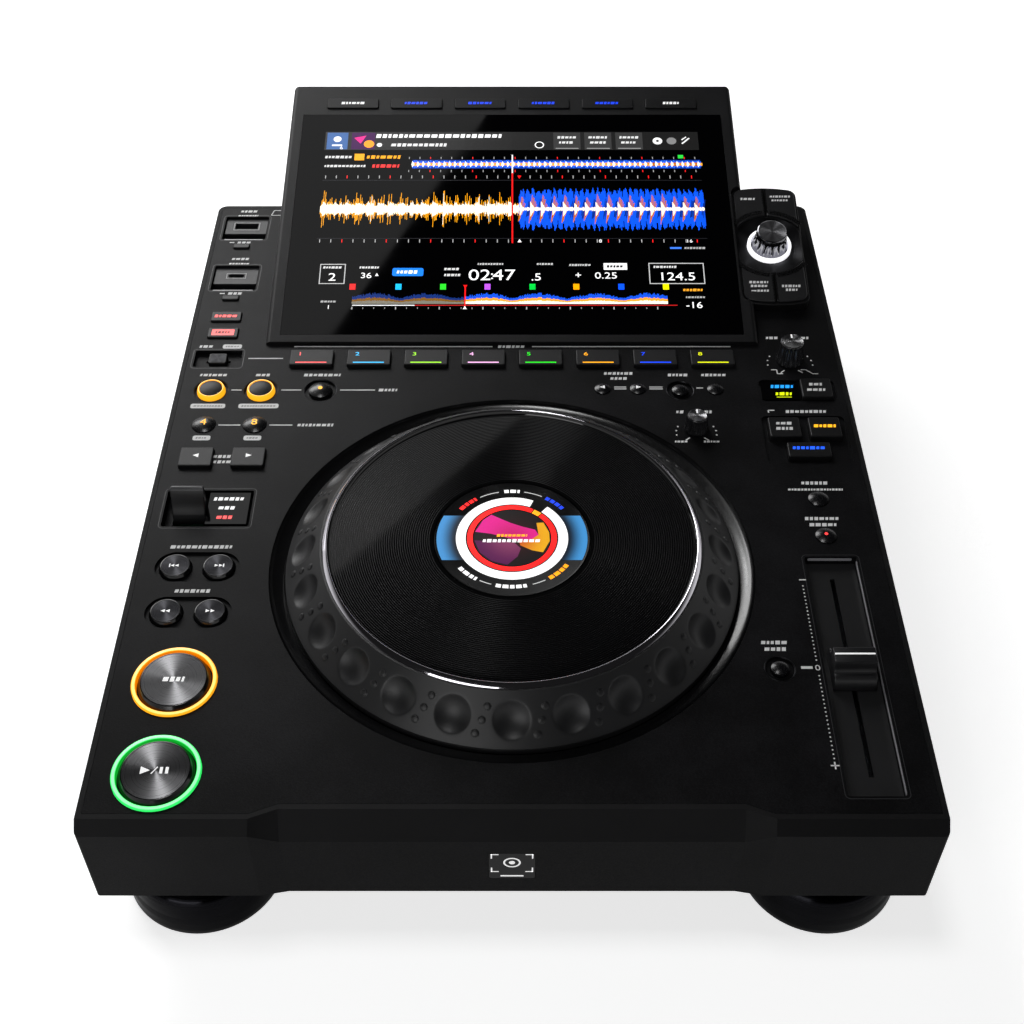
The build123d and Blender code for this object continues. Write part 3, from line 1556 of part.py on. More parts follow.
with BuildPart() as screws:
    # case screws from below, foot screws from inside
    with BuildSketch(Plane.XY.offset(foot_height - screw_head_height)):
        with Locations(*boss_places):
            Circle(screw_head_radius)
    extrude(amount=screw_head_height)
    with BuildSketch(Plane.XY.offset(foot_height)):
        with Locations(*boss_places):
            Circle(screw_radius - running_clearance)
    extrude(amount=screw_length)
    with BuildSketch(Plane.XY.offset(chassis_top)):
        with Locations(*foot_places):
            Circle(screw_head_radius)
    extrude(amount=screw_head_height)
    with BuildSketch(Plane.XY.offset(chassis_top)):
        with Locations(*foot_places):
            Circle(screw_radius - running_clearance)
    extrude(amount=-screw_length + chassis_thickness)
save(screws, "screws")
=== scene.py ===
import random
from math import asin, atan2, cos, hypot, pi, radians, sin, sqrt

import bmesh
import bpy
from mathutils import Matrix, Vector


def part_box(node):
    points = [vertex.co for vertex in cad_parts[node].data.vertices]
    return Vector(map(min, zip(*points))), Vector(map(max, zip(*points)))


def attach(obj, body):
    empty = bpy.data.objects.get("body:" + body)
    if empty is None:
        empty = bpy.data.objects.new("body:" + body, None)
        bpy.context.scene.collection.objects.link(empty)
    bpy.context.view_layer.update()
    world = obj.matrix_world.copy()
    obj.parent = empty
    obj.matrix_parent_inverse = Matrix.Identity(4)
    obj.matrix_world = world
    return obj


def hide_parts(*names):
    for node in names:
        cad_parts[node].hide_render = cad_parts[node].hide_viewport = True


# A tabletop DJ media player. Metres, +Z up, and the play key side faces -Y.
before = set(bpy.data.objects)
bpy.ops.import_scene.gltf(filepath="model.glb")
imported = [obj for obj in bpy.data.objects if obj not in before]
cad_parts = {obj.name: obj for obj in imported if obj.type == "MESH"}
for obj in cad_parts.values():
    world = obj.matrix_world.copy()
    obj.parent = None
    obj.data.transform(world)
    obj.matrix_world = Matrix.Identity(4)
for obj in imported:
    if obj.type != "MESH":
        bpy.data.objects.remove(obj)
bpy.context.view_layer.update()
MM = 0.001

# ------------------------------------------------------------------ camera
# One camera above the front edge, level with the middle of the player and tipped down at the jog wheel.
# Its lens is a short telephoto, so the sides of the case draw in gently towards the back.
camera_setback = 0.29926
camera_height = 0.5597
camera_tip = 44.07
camera_lens = 52.11
camera_sensor = 36.0

camera = bpy.data.objects.new("camera", bpy.data.cameras.new("camera"))
camera.data.lens = camera_lens
camera.data.sensor_width = camera_sensor
camera.location = (0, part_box("body_shell")[0].y - camera_setback, camera_height)
camera.rotation_euler = (radians(camera_tip), 0, 0)
bpy.context.scene.collection.objects.link(camera)
bpy.context.scene.camera = camera


# ------------------------------------------------------------------ chassis and screws
# The bottom chassis is a folded tray of steel sheet, powder coated black, with slots for cooling air.
# Self-cutting screws, zinc plated, hold it to bosses along the inside of the case.
chassis_black = "#17171a"
zinc = "#a9abac"


def linear(colour):
    """Turn an sRGB hex colour into the linear values that a shader takes."""
    parts = [int(colour[i:i + 2], 16) / 255 for i in (1, 3, 5)]
    return tuple(p / 12.92 if p <= 0.04045 else ((p + 0.055) / 1.055) ** 2.4 for p in parts) + (1.0,)


def add(tree, kind, inputs=None, **settings):
    """Add one node to a material, with its settings, and with its inputs set or linked."""
    made = tree.nodes.new(kind)
    for name, value in settings.items():
        setattr(made, name, value)
    for socket, value in (inputs or {}).items():
        if isinstance(value, bpy.types.NodeSocket):
            tree.links.new(value, made.inputs[socket])
        else:
            made.inputs[socket].default_value = value
    return made


def surface(name, colour, roughness, **sockets):
    """Start a finish: its plain values stand on the shader's own sockets."""
    material = bpy.data.materials.new(name)
    material.use_nodes = True
    shader = material.node_tree.nodes["Principled BSDF"]
    shader.inputs["Base Color"].default_value = linear(colour)
    shader.inputs["Roughness"].default_value = roughness
    for socket, value in sockets.items():
        shader.inputs[socket.replace("_", " ")].default_value = value
    return material, material.node_tree, shader


def grained(name, colour, fleck, roughness, grain, depth, spread=0.08, **sockets):
    """A finish with an even grain: bumps grain mm apart and depth mm deep, which also
    vary the colour towards the fleck and the roughness by the spread."""
    material, tree, shader = surface(name, colour, roughness, **sockets)
    place = add(tree, "ShaderNodeTexCoord").outputs["Object"]
    fine = add(tree, "ShaderNodeTexNoise", {"Vector": place, "Scale": 1 / (grain * MM), "Detail": 3.0})
    cloud = add(tree, "ShaderNodeTexNoise", {"Vector": place, "Scale": 30.0, "Detail": 2.0})
    both = add(tree, "ShaderNodeMath", {0: fine.outputs[0], 1: cloud.outputs[0]}, operation="ADD")
    share = add(tree, "ShaderNodeMapRange", {0: both.outputs[0], 1: 0.85, 2: 1.35, 3: 0.0, 4: 1.0})
    shades = {0: share.outputs[0], 6: linear(colour), 7: linear(fleck)}
    tint = add(tree, "ShaderNodeMix", shades, data_type="RGBA")
    sheen = {0: fine.outputs[0], 1: 0.3, 2: 0.7, 3: roughness - spread, 4: roughness + spread}
    rough = add(tree, "ShaderNodeMapRange", sheen)
    bump = add(tree, "ShaderNodeBump", {"Height": fine.outputs[0], "Distance": depth * MM, "Strength": 1.0})
    tree.links.new(tint.outputs[2], shader.inputs["Base Color"])
    tree.links.new(rough.outputs[0], shader.inputs["Roughness"])
    tree.links.new(bump.outputs[0], shader.inputs["Normal"])
    return material


def dress(material, *names):
    """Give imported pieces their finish."""
    for name in names:
        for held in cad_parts[name].material_slots:
            held.material = material


# Powder coat has a soft orange-peel surface about 1 mm across, which blurs what it reflects.
powder_coat = grained("powder_coat", chassis_black, "#232327", 0.5, 1.0, 0.03, Specular_IOR_Level=0.35)
# Zinc plate is a bright metal with a fine satin grain from the bath.
zinc_plate = grained("zinc_plate", zinc, "#8d9092", 0.32, 0.3, 0.004, Metallic=1.0)
dress(powder_coat, "bottom_chassis")
dress(zinc_plate, "screws")

# ------------------------------------------------------------------ feet
# Four round feet are turned from aluminium and anodised black; the tool's fine rings still show.
# Each stands on a ring of felt-like rubber, and one screw through its middle holds it to the chassis.
foot_radius = 33.2
foot_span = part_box("feet")[1].x - foot_radius * MM
foot_rows = (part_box("feet")[0].y + foot_radius * MM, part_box("feet")[1].y - foot_radius * MM)
foot_ring_pitch = 0.45


def revolved(profile, steps):
    """The points and faces of a closed outline of (radius, height) in mm, swept round the Z axis.
    The profile may also be a function that gives the outline at an angle."""
    points = []
    for step in range(steps):
        angle = 2 * pi * step / steps
        shape = profile(angle) if callable(profile) else profile
        points += [(r * MM * cos(angle), r * MM * sin(angle), z * MM) for r, z in shape]
    count = len(points) // steps
    faces = []
    for step in range(steps):
        here = step * count
        there = (step + 1) % steps * count
        for i in range(count):
            j = (i + 1) % count
            faces.append((here + i, there + i, there + j, here + j))
    return points, faces


def solid(name, points, faces, material, body, place=None, crease=35, bands=None):
    """One closed mesh at its place, smooth but for its creases, which rides on a body.
    bands gives more finishes as (material, test of a face's middle)."""
    mesh = bpy.data.meshes.new(name)
    work = bmesh.new()
    corners = [work.verts.new(p) for p in points]
    for face in faces:
        if len(set(face)) > 2:
            work.faces.new([corners[i] for i in face])
    bmesh.ops.remove_doubles(work, verts=work.verts[:], dist=0.000002)
    bmesh.ops.recalc_face_normals(work, faces=work.faces[:])
    mesh.materials.append(material)
    for index, (finish, test) in enumerate(bands or [], start=1):
        mesh.materials.append(finish)
        for face in work.faces:
            if test(face.calc_center_median() / MM):
                face.material_index = index
    work.to_mesh(mesh)
    work.free()
    mesh.shade_smooth()
    mesh.set_sharp_from_angle(angle=radians(crease))
    made = bpy.data.objects.new(name, mesh)
    made.matrix_world = place or Matrix.Identity(4)
    bpy.context.scene.collection.objects.link(made)
    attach(made, body)
    return made


def turned(name, profile, material, body, place, steps=96, bands=None):
    """A piece turned on a lathe, from its outline in mm."""
    return solid(name, *revolved(profile, steps), material, body, place, bands=bands)


def ringed(name, colour, roughness, pitch, depth, fan=0.0):
    """Metal turned on a lathe: rings pitch mm apart round the piece's own Z axis, and a gloss
    that is stretched across them, so that light shows as bright wedges. The last argument, from 0 to 1, is a
    painted highlight: bright wedges painted into the colour by angle round the axis, with the metal that much
    darker between them, the same in any light."""
    material, tree, shader = surface(
        name, colour, roughness, Metallic=1.0, Anisotropic=0.85, Anisotropic_Rotation=0.25
    )
    place = add(tree, "ShaderNodeTexCoord").outputs["Object"]
    flat = add(tree, "ShaderNodeVectorMath", {0: place, 1: (1, 1, 0)}, operation="MULTIPLY")
    out = add(tree, "ShaderNodeVectorMath", {0: flat.outputs[0]}, operation="LENGTH")
    spacing = {"W": out.outputs["Value"], "Scale": 1 / (pitch * MM), "Detail": 2.0}
    lines = add(tree, "ShaderNodeTexNoise", spacing, noise_dimensions="1D")
    bump = add(tree, "ShaderNodeBump", {"Height": lines.outputs[0], "Distance": depth * MM, "Strength": 0.6})
    uneven = 0.03 if fan else 0.1
    sheen = {0: lines.outputs[0], 1: 0.3, 2: 0.7, 3: max(roughness - uneven, 0.05), 4: roughness + uneven}
    shade = add(tree, "ShaderNodeMapRange", sheen)
    round_axis = add(tree, "ShaderNodeTangent", direction_type="RADIAL", axis="Z")
    tree.links.new(bump.outputs[0], shader.inputs["Normal"])
    tree.links.new(shade.outputs[0], shader.inputs["Roughness"])
    tree.links.new(round_axis.outputs[0], shader.inputs["Tangent"])
    # painted highlight: fixed wedges by angle round the axis brighten the base colour
    if fan:
        way = add(tree, "ShaderNodeVectorMath", {0: flat.outputs[0]}, operation="NORMALIZE")
        level = 1 - fan
        # each painted highlight wedge has a heading, a narrowness and a share of the painted brightening
        for heading, narrow, share in ((112, 14.0, 1.25), (24, 9.0, 0.5), (158, 30.0, 0.35)):
            spoke = (cos(radians(heading)), sin(radians(heading)), 0)
            facing = add(tree, "ShaderNodeVectorMath", {0: way.outputs[0], 1: spoke}, operation="DOT_PRODUCT")
            both = add(tree, "ShaderNodeMath", {0: facing.outputs["Value"]}, operation="ABSOLUTE")
            wedge = add(tree, "ShaderNodeMath", {0: both.outputs[0], 1: narrow}, operation="POWER")
            lighter = {0: wedge.outputs[0], 1: share * fan, 2: level}
            level = add(tree, "ShaderNodeMath", lighter, operation="MULTIPLY_ADD").outputs[0]
        spun = add(tree, "ShaderNodeVectorMath", {0: linear(colour)[:3], "Scale": level}, operation="SCALE")
        tree.links.new(spun.outputs[0], shader.inputs["Base Color"])
    return material


# Black anodised aluminium keeps the metal's gloss under a dark dye, and the turning rings catch light.
# The rings are drawn 0.45 mm apart, coarser than the tool's, so that they show.
anodised_black = ringed("anodised_black_turned", "#1c1c1f", 0.26, foot_ring_pitch, 0.02)
# Rubber is matt and slightly rough.
rubber = grained("rubber_moulded", "#101011", "#18181a", 0.8, 0.5, 0.03, Specular_IOR_Level=0.2)

foot_profile = [
    (5.0, 32.0), (19.6, 32.0), (19.9, 24.0), (21.5, 22.0), (28.6, 21.2), (30.4, 20.0), (31.2, 18.2),
    (32.6, 10.0), (33.2, 4.0), (33.2, 1.3), (32.9, 0.8), (27.0, 0.8), (27.0, 0.0), (18.0, 0.0),
    (18.0, 0.8), (5.0, 0.8),
]
feet = [(side * foot_span, row) for row in foot_rows for side in (-1, 1)]
for number, (x, y) in enumerate(feet, start=1):
    foot = turned(
        "foot_%d" % number,
        foot_profile,
        anodised_black,
        "root",
        Matrix.Translation((x, y, 0)),
        bands=[(rubber, lambda p: p.z < 0.9 and hypot(p.x, p.y) < 27.5)],
    )
    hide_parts("feet")

# ------------------------------------------------------------------ what the case holds
# Circuit boards of glass-filled epoxy carry the switches and sockets; a steel bearing and rail guide
# the jog wheel and the fader, and the display module sits behind its glass.
# Solder mask is a glossy lacquer over copper tracks about 1 mm apart.
solder_mask = grained("board_solder_mask", "#0c3a24", "#14532f", 0.35, 1.0, 0.02)
# Ground steel is bright, with a fine satin grain.
ground_steel = grained("ground_steel", "#8f9194", "#7c7e82", 0.28, 0.4, 0.005, Metallic=1.0)
# The display module's frame is plain moulded black plastic.
module_black = grained("module_frame_plastic", "#121214", "#1b1b1e", 0.5, 0.8, 0.02)
dress(solder_mask, "circuit_boards")
dress(ground_steel, "fader_rail", "jog_bearing", "encoder_shaft")
dress(module_black, "lcd_panel")

# ------------------------------------------------------------------ case shell
# The case is one moulding in black ABS: front, sides and back, open at the top and bottom.
# Its mould was spark eroded, so the skin has a fine even grain and only a soft sheen.
# The grain is drawn 0.55 mm across, coarser than the real one, so that it shows.
grain_size = 0.55
case_abs = grained("case_abs_textured", "#0b0b0c", "#111113", 0.56, grain_size, 0.05, Specular_IOR_Level=0.15)
dress(case_abs, "body_shell")

# ------------------------------------------------------------------ deck
# The top panel is a separate moulding in the same ABS, painted satin black, let into the case.
# The paint carries a fine metallic fleck, and white marks are screen printed on it.
deck_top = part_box("top_panel")[1].z
front_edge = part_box("body_shell")[0].y + 4.8 * MM
# Satin paint is a little smoother than the bare plastic round it, and its fleck lightens it here and there.
satin_paint = grained(
    "satin_paint_flecked", "#080809", "#19191b", 0.43, grain_size, 0.06, 0.06, Specular_IOR_Level=0.085
)
dress(satin_paint, "top_panel")

ink_rise = 0.04
ink_sunk = 0.03
random.seed(12)


def glow(name, colour, strength, roughness=0.4):
    """A lit or printed colour, a little uneven as ink and diffusing plastic are."""
    material, tree, shader = surface(name, colour, roughness)
    place = add(tree, "ShaderNodeTexCoord").outputs["Object"]
    uneven = add(tree, "ShaderNodeTexNoise", {"Vector": place, "Scale": 900.0, "Detail": 2.0})
    level = add(tree, "ShaderNodeMapRange", {0: uneven.outputs[0], 1: 0.3, 2: 0.7, 3: 0.94, 4: 1.0})
    shader.inputs["Emission Color"].default_value = linear(colour)
    parts = {0: 1.0, 6: linear(colour), 7: level.outputs[0]}
    shade = add(tree, "ShaderNodeMix", parts, data_type="RGBA", blend_type="MULTIPLY")
    tree.links.new(shade.outputs[2], shader.inputs["Emission Color" if strength else "Base Color"])
    shader.inputs["Emission Strength"].default_value = strength
    return material


def bar(x, y, width, height, lean=0.0):
    """A rectangle round its middle, its top moved sideways by the lean."""
    a, b = width / 2, height / 2
    low, high = x - lean / 2, x + lean / 2
    return [(low - a, y - b), (low + a, y - b), (high + a, y + b), (high - a, y + b)]


def stroke(x0, y0, x1, y1, width):
    """A straight line from one point to another."""
    length = hypot(x1 - x0, y1 - y0)
    dx, dy = (y0 - y1) / length * width / 2, (x1 - x0) / length * width / 2
    return [(x0 + dx, y0 + dy), (x0 - dx, y0 - dy), (x1 - dx, y1 - dy), (x1 + dx, y1 + dy)]


def disc(x, y, radius, steps=24):
    """A round dot."""
    turns = [2 * pi * i / steps for i in range(steps)]
    return [(x + radius * cos(turn), y + radius * sin(turn)) for turn in turns]


def pill(x, y, width, height, corner):
    """A rectangle with rounded corners, six short lines to each corner."""
    a, b = width / 2 - corner, height / 2 - corner
    shape = []
    for quarter, (sx, sy) in enumerate(((1, 1), (-1, 1), (-1, -1), (1, -1))):
        for i in range(7):
            turn = pi / 2 * (quarter + i / 6)
            shape.append((x + sx * a + corner * cos(turn), y + sy * b + corner * sin(turn)))
    return shape


def dashes(x, y, width, height):
    """A row of plain blocks of uneven width, where the keys' captions would stand."""
    shapes = []
    at = x - width / 2
    while at < x + width / 2 - 0.3 * height:
        wide = min(random.uniform(0.45, 1.0) * height, x + width / 2 - at)
        shapes.append(bar(at + wide / 2, y, wide, height * random.choice((0.74, 0.86)), 0.12 * height))
        at += wide + 0.26 * height
    return shapes


def ink(name, shapes, material, body, place, rise=ink_rise, sunk=ink_sunk):
    """Flat marks on a face: each outline in mm, raised by the thickness of its ink or lens."""
    points = []
    faces = []
    for shape in shapes:
        start = len(points)
        count = len(shape)
        points += [(x * MM, y * MM, -sunk * MM) for x, y in shape]
        points += [(x * MM, y * MM, rise * MM) for x, y in shape]
        faces.append(tuple(range(start, start + count)))
        faces.append(tuple(range(start + count, start + 2 * count)))
        for i in range(count):
            j = (i + 1) % count
            faces.append((start + i, start + j, start + count + j, start + count + i))
    return solid(name, points, faces, material, body, place)


def numerals(name, texts, material, body, place, rise=ink_rise, widen=1.15):
    """Plain figures: (text, x, y, height) in mm, each set round its middle, in one mesh."""
    work = bmesh.new()
    for text, x, y, height in texts:
        curve = bpy.data.curves.new(name, "FONT")
        curve.body = text
        curve.size = height * 1.38 * MM
        curve.extrude = (rise + ink_sunk) / 2 * MM
        curve.align_x = "CENTER"
        curve.resolution_u = 6
        holder = bpy.data.objects.new(name, curve)
        flat = bpy.data.meshes.new_from_object(holder)
        seat = Matrix.Translation((x * MM, (y - height / 2) * MM, (rise - ink_sunk) / 2 * MM))
        flat.transform(seat @ Matrix.Scale(widen, 4, (1, 0, 0)))
        work.from_mesh(flat)
        bpy.data.objects.remove(holder)
        bpy.data.curves.remove(curve)
        bpy.data.meshes.remove(flat)
    bmesh.ops.remove_doubles(work, verts=work.verts[:], dist=0.000001)
    mesh = bpy.data.meshes.new(name)
    work.to_mesh(mesh)
    work.free()
    mesh.materials.clear()
    mesh.materials.append(material)
    made = bpy.data.objects.new(name, mesh)
    made.matrix_world = place
    bpy.context.scene.collection.objects.link(made)
    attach(made, body)
    return made


# Screen ink is a matt white enamel, dense enough to hide the black under it.
white_ink = glow("screen_ink_white", "#e9e9e9", 0.0, 0.55)
# The same enamel in grey, for the small words in the pills and the outlines of the ports.
grey_ink = glow("screen_ink_grey", "#a6a6a6", 0.0, 0.55)
deck_place = Matrix.Translation((0, front_edge, deck_top))
mark = 0.65
caption = 2.3

lines = [
    (-132.0, 267.3, -114.6, 267.3), (-109.9, 276.5, -9.9, 276.5), (10.1, 276.5, 110.3, 276.5),
    (-137.3, 243.4, -132.4, 243.4), (-112.9, 243.4, -103.1, 243.4), (-84.2, 243.4, -67.0, 243.4),
    (-140.2, 218.1, -129.7, 218.1), (-115.9, 218.1, -104.9, 218.1), (123.6, 228.6, 126.6, 228.6),
    (123.6, 228.6, 123.6, 226.9), (50.1, 245.6, 56.0, 245.6), (50.1, 244.2, 56.0, 244.2),
    (67.3, 245.6, 73.8, 245.6), (67.3, 244.2, 73.8, 244.2), (90.4, 244.9, 93.7, 244.9),
]
deck_marks = [stroke(x0, y0, x1, y1, mark) for x0, y0, x1, y1 in lines]
deck_marks.append(bar(120.55, 71.8, 4.7, 1.3))
captions = [
    (0.0, 276.5, 14.0), (-60.7, 243.4, 9.0), (-147.2, 254.6, 14.0), (-122.6, 254.6, 8.0),
    (-93.8, 254.6, 18.0), (-93.9, 218.1, 17.0), (-135.1, 196.4, 9.0), (-135.1, 192.8, 8.0),
    (-136.8, 138.9, 27.0), (-136.9, 113.2, 15.0), (-147.2, 394.7, 9.0), (-146.5, 350.3, 9.0),
    (-146.4, 365.3, 7.0), (-145.6, 320.1, 7.0), (-154.2, 276.6, 7.0), (52.6, 255.8, 14.0),
    (52.6, 252.0, 8.0), (82.1, 254.6, 10.0), (99.6, 254.6, 12.0), (142.0, 227.7, 20.0),
    (139.3, 178.8, 13.0), (138.9, 156.2, 15.0), (138.9, 152.4, 12.0), (108.9, 84.9, 11.0),
    (108.9, 81.4, 9.0), (132.0, 283.4, 6.0), (147.6, 283.4, 6.0), (81.0, 227.4, 3.6), (94.4, 227.4, 3.6),
]
for x, y, width in captions:
    deck_marks += dashes(x, y, width, caption)
small_caption = 1.5
small_captions = [
    (-147.2, 390.6, 11.0), (-146.5, 346.1, 11.0), (138.7, 174.6, 25.0), (80.2, 206.6, 6.5),
    (94.4, 206.6, 7.5),
]
for x, y, width in small_captions:
    deck_marks += dashes(x, y, width, small_caption)
for x, y in ((-153.0, 365.3), (-152.2, 320.1)):
    deck_marks.append(bar(x, y, 2.6, 0.8))
# pale pills round the second captions, each with a darker row of dashes over it
pills = [
    (-147.2, 231.7, 16.8), (-122.7, 231.7, 19.4), (-147.0, 209.1, 8.4), (-122.9, 209.1, 8.4),
    (-141.2, 276.6, 9.6),
]
deck_marks += [pill(x, y, width, 3.3, 1.1) for x, y, width in pills]
# dots of the tempo scale, but not where its zero stands, and the dots and end ticks of the two knobs
scale_top = 116.1
scale_bottom = 27.2
scale_zero = 71.8
scale_count = 44
for i in range(scale_count + 1):
    y = scale_bottom + (scale_top - scale_bottom) * i / scale_count
    if abs(y - scale_zero) > 2.4:
        deck_marks.append(disc(125.0, y, 0.36, 8))
brake_knob = (138.6, 266.0)
weight_knob = (87.6, 215.5)
for (x, y), radius, turns in ((brake_knob, 11.2, (-4, 14, 32)), (weight_knob, 9.6, (-8, 10, 28))):
    for side in (0, 180):
        for turn in turns:
            angle = radians(side + (turn if side == 0 else -turn))
            deck_marks.append(disc(x + radius * cos(angle), y - 3 + radius * sin(angle), 0.45, 10))
    for side in (-1, 1):
        foot_of_knob = y - radius
        deck_marks.append(stroke(x + side * 3.4, foot_of_knob + 3.4, x + side * 5.4, foot_of_knob + 1.6, 0.6))
# a step and a slope under the brake knob's ends
for points in (((128.6, 258.6), (131.4, 258.6), (131.4, 255.6), (134.2, 255.6)),
               ((143.4, 258.6), (145.8, 258.6), (149.0, 255.6), (151.6, 255.6))):
    deck_marks += [stroke(*points[i], *points[i + 1], 0.55) for i in range(3)]
# a bracket beside the first port
deck_marks += [stroke(-134.4, 391.0, -129.0, 391.0, 0.5), stroke(-134.4, 391.0, -133.2, 395.6, 0.5)]
deck_marks += [stroke(-133.2, 395.6, -129.0, 395.6, 0.5)]
ink("deck_marks", deck_marks, white_ink, "root", deck_place)
pill_marks = []
for x, y, width in pills:
    pill_marks += dashes(x, y, width - 3.0, 1.4)
ink("pill_marks", pill_marks, grey_ink, "root", deck_place, rise=ink_rise + 0.03)
numerals("deck_numerals", [("0", 125.0, scale_zero, 2.9)], white_ink, "root", deck_place)
# a minus at the scale's top and a plus at its bottom
fader_signs = [bar(125.3, 119.6, 3.0, 0.6), bar(124.9, 23.9, 3.4, 0.6), bar(124.9, 23.9, 0.6, 3.4)]
ink("fader_signs", fader_signs, white_ink, "root", deck_place)

# ------------------------------------------------------------------ display housing
# The display stands in its own black ABS housing that tips up towards the back and covers the pod's side.
# Its window is a sheet of toughened glass with black print behind it, glued into a step in the frame.
display_tilt = 11.6
display_step = 2.0
housing_abs = grained(
    "housing_abs_textured", "#0b0b0c", "#151517", 0.46, grain_size, 0.04, Specular_IOR_Level=0.22
)


def smeared(name, colour, roughness, scale, detail, reach, sheen, specular):
    """A glossy sheet: smears whose noise lies in the reach change its roughness within the sheen."""
    material, tree, shader = surface(name, colour, roughness, Specular_IOR_Level=specular)
    place = add(tree, "ShaderNodeTexCoord").outputs["Object"]
    smear = add(tree, "ShaderNodeTexNoise", {"Vector": place, "Scale": scale, "Detail": detail})
    span = {0: smear.outputs[0], 1: reach[0], 2: reach[1], 3: sheen[0], 4: sheen[1]}
    film = add(tree, "ShaderNodeMapRange", span)
    tree.links.new(film.outputs[0], shader.inputs["Roughness"])
    return material


# Cover glass is flawless float glass; faint smears are the only thing that breaks its gloss.
cover_glass = smeared("cover_glass_black", "#010102", 0.05, 18.0, 4.0, (0.35, 0.75), (0.03, 0.09), 0.3)
dress(housing_abs, "display_housing")
dress(cover_glass, "display_glass")

display_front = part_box("display_housing")[0].y
tilted = Matrix.Rotation(radians(display_tilt), 4, "X")
display_place = Matrix.Translation((0, display_front, deck_top + display_step * MM)) @ tilted
# a row of six rubber-dome keys stands behind the glass; each carries a short lit caption
# Key plastic comes from a polished mould with a fine haze, so it has a soft sheen and dull edges.
key_satin = grained("key_plastic_satin", "#0e0e0f", "#161618", 0.4, 0.5, 0.012, Specular_IOR_Level=0.25)
dress(key_satin, "display_keys")
# The captions are windows in the keys' lacquer, lit from below: even colour with hardly any gloss.
caption_white = glow("caption_lit_white", "#dcdcdc", 0.75)
caption_blue = glow("caption_lit_blue", "#0a3ce0", 1.0)
display_key_pitch = 36.0
display_key_row = 172.3
display_caption = 2.2
key_top = display_place @ Matrix.Translation((0, 0, 0.8 * MM))
columns = [(i - 2.5) * display_key_pitch for i in range(6)]
ends = dashes(columns[0], display_key_row, 13.0, display_caption)
ends += dashes(columns[5], display_key_row, 9.0, display_caption)
ink("display_key_captions_white", ends, caption_white, "display_keys", key_top)
middles = []
for x in columns[1:5]:
    middles += dashes(x, display_key_row, 13.5, display_caption)
ink("display_key_captions_blue", middles, caption_blue, "display_keys", key_top)

# ------------------------------------------------------------------ picture on the display
# Behind the glass a colour panel shows the music: a bar of details, a scrolling wave and a row of times.
# All of it is lit from behind, so each colour is drawn as light, a little uneven as its pixels are.
pictures = {}


def paint(colour, shapes, layer=1):
    """Put shapes of one colour on one layer of the picture, in mm up the glass."""
    pictures.setdefault((colour, layer), []).extend(shapes)


def rows_of(colour, x0, x1, y, height, layer=2):
    """Put a row of blocks in place of a word."""
    paint(colour, dashes((x0 + x1) / 2, y, x1 - x0, height), layer)


def arrow(x, y, size, heading=0.0):
    """A solid triangle that points to the heading, in degrees."""
    half = size / 2
    ahead, aside = cos(radians(heading)), sin(radians(heading))
    corners = ((1.0, 0.0), (-0.7, 0.8), (-0.7, -0.8))
    return [(x + half * (a * ahead - b * aside), y + half * (a * aside + b * ahead)) for a, b in corners]


def sector(inner, outer, start, end, steps=24, x=0.0, y=0.0):
    """One band of a ring from one angle to another, in degrees."""
    angles = [radians(start + (end - start) * i / steps) for i in range(steps + 1)]
    rim = [(x + outer * cos(a), y + outer * sin(a)) for a in angles]
    return rim + [(x + inner * cos(a), y + inner * sin(a)) for a in reversed(angles)]


def arc(x, y, outer, inner, start=0.0, end=360.0, longest=90, steps=16):
    """A ring, or a part of one, in bands no longer than a flat face can hold."""
    count = max(1, round((end - start) / longest))
    step = (end - start) / count
    return [sector(inner, outer, start + step * i, start + step * (i + 1), steps, x, y) for i in range(count)]


def outline(x, y, width, height, line):
    """A rectangle drawn with a line, as four bars."""
    a, b = width / 2 - line / 2, height / 2 - line / 2
    return [
        bar(x, y + b, width, line), bar(x, y - b, width, line),
        bar(x - a, y, line, height - 2 * line), bar(x + a, y, line, height - 2 * line),
    ]


picture_left = -104.0
picture_right = 103.6
# top bar: tiles, a small picture, a title and three boxes
for i in range(8):
    shade = "#%02x%02x%02x" % ((0x26 - 2 * i,) * 3)
    wide = (picture_right - picture_left) / 8
    paint(shade, [bar(picture_left + wide * (i + 0.5), 142.85, wide, 14.1)])
paint("#3d5f94", [bar(-97.1, 142.8, 11.6, 13.0)], 2)
paint("#e8e8e8", [disc(-97.1, 144.2, 2.2), bar(-97.1, 139.4, 5.6, 1.2)], 3)
paint("#3a0f46", [bar(-82.7, 142.8, 13.0, 13.0)], 2)
paint("#dc2884", [arrow(-84.0, 144.6, 7.4, 40)], 3)
paint("#f09628", [disc(-79.4, 140.4, 2.9)], 3)
rows_of("#e8e8e8", -75.6, -5.9, 146.7, 3.4)
rows_of("#d0d0d0", -67.0, -36.4, 139.7, 2.8)
paint("#e8e8e8", [disc(-73.6, 139.7, 1.5)], 2)
paint("#e8e8e8", arc(15.2, 139.7, 2.6, 2.0), 2)
for x in (30.55, 47.8, 65.1):
    paint("#333333", [bar(x, 142.8, 15.0, 13.2)], 2)
    rows_of("#c8c8c8", x - 5.2, x + 5.2, 145.6, 2.2, 3)
    rows_of("#c8c8c8", x - 4.4, x + 4.4, 141.6, 2.2, 3)
    paint("#8c8c8c", [bar(x, 137.0, 12.6, 0.6)], 3)
paint("#dcdcdc", [disc(80.9, 142.8, 2.7)], 2)
paint("#141414", [disc(80.9, 142.8, 0.8)], 3)
paint("#787878", [disc(88.7, 142.8, 2.7)], 2)
paint("#dcdcdc", [stroke(94.4, 140.6, 98.6, 145.0, 0.9), stroke(94.4, 143.6, 97.0, 146.0, 0.7)], 2)
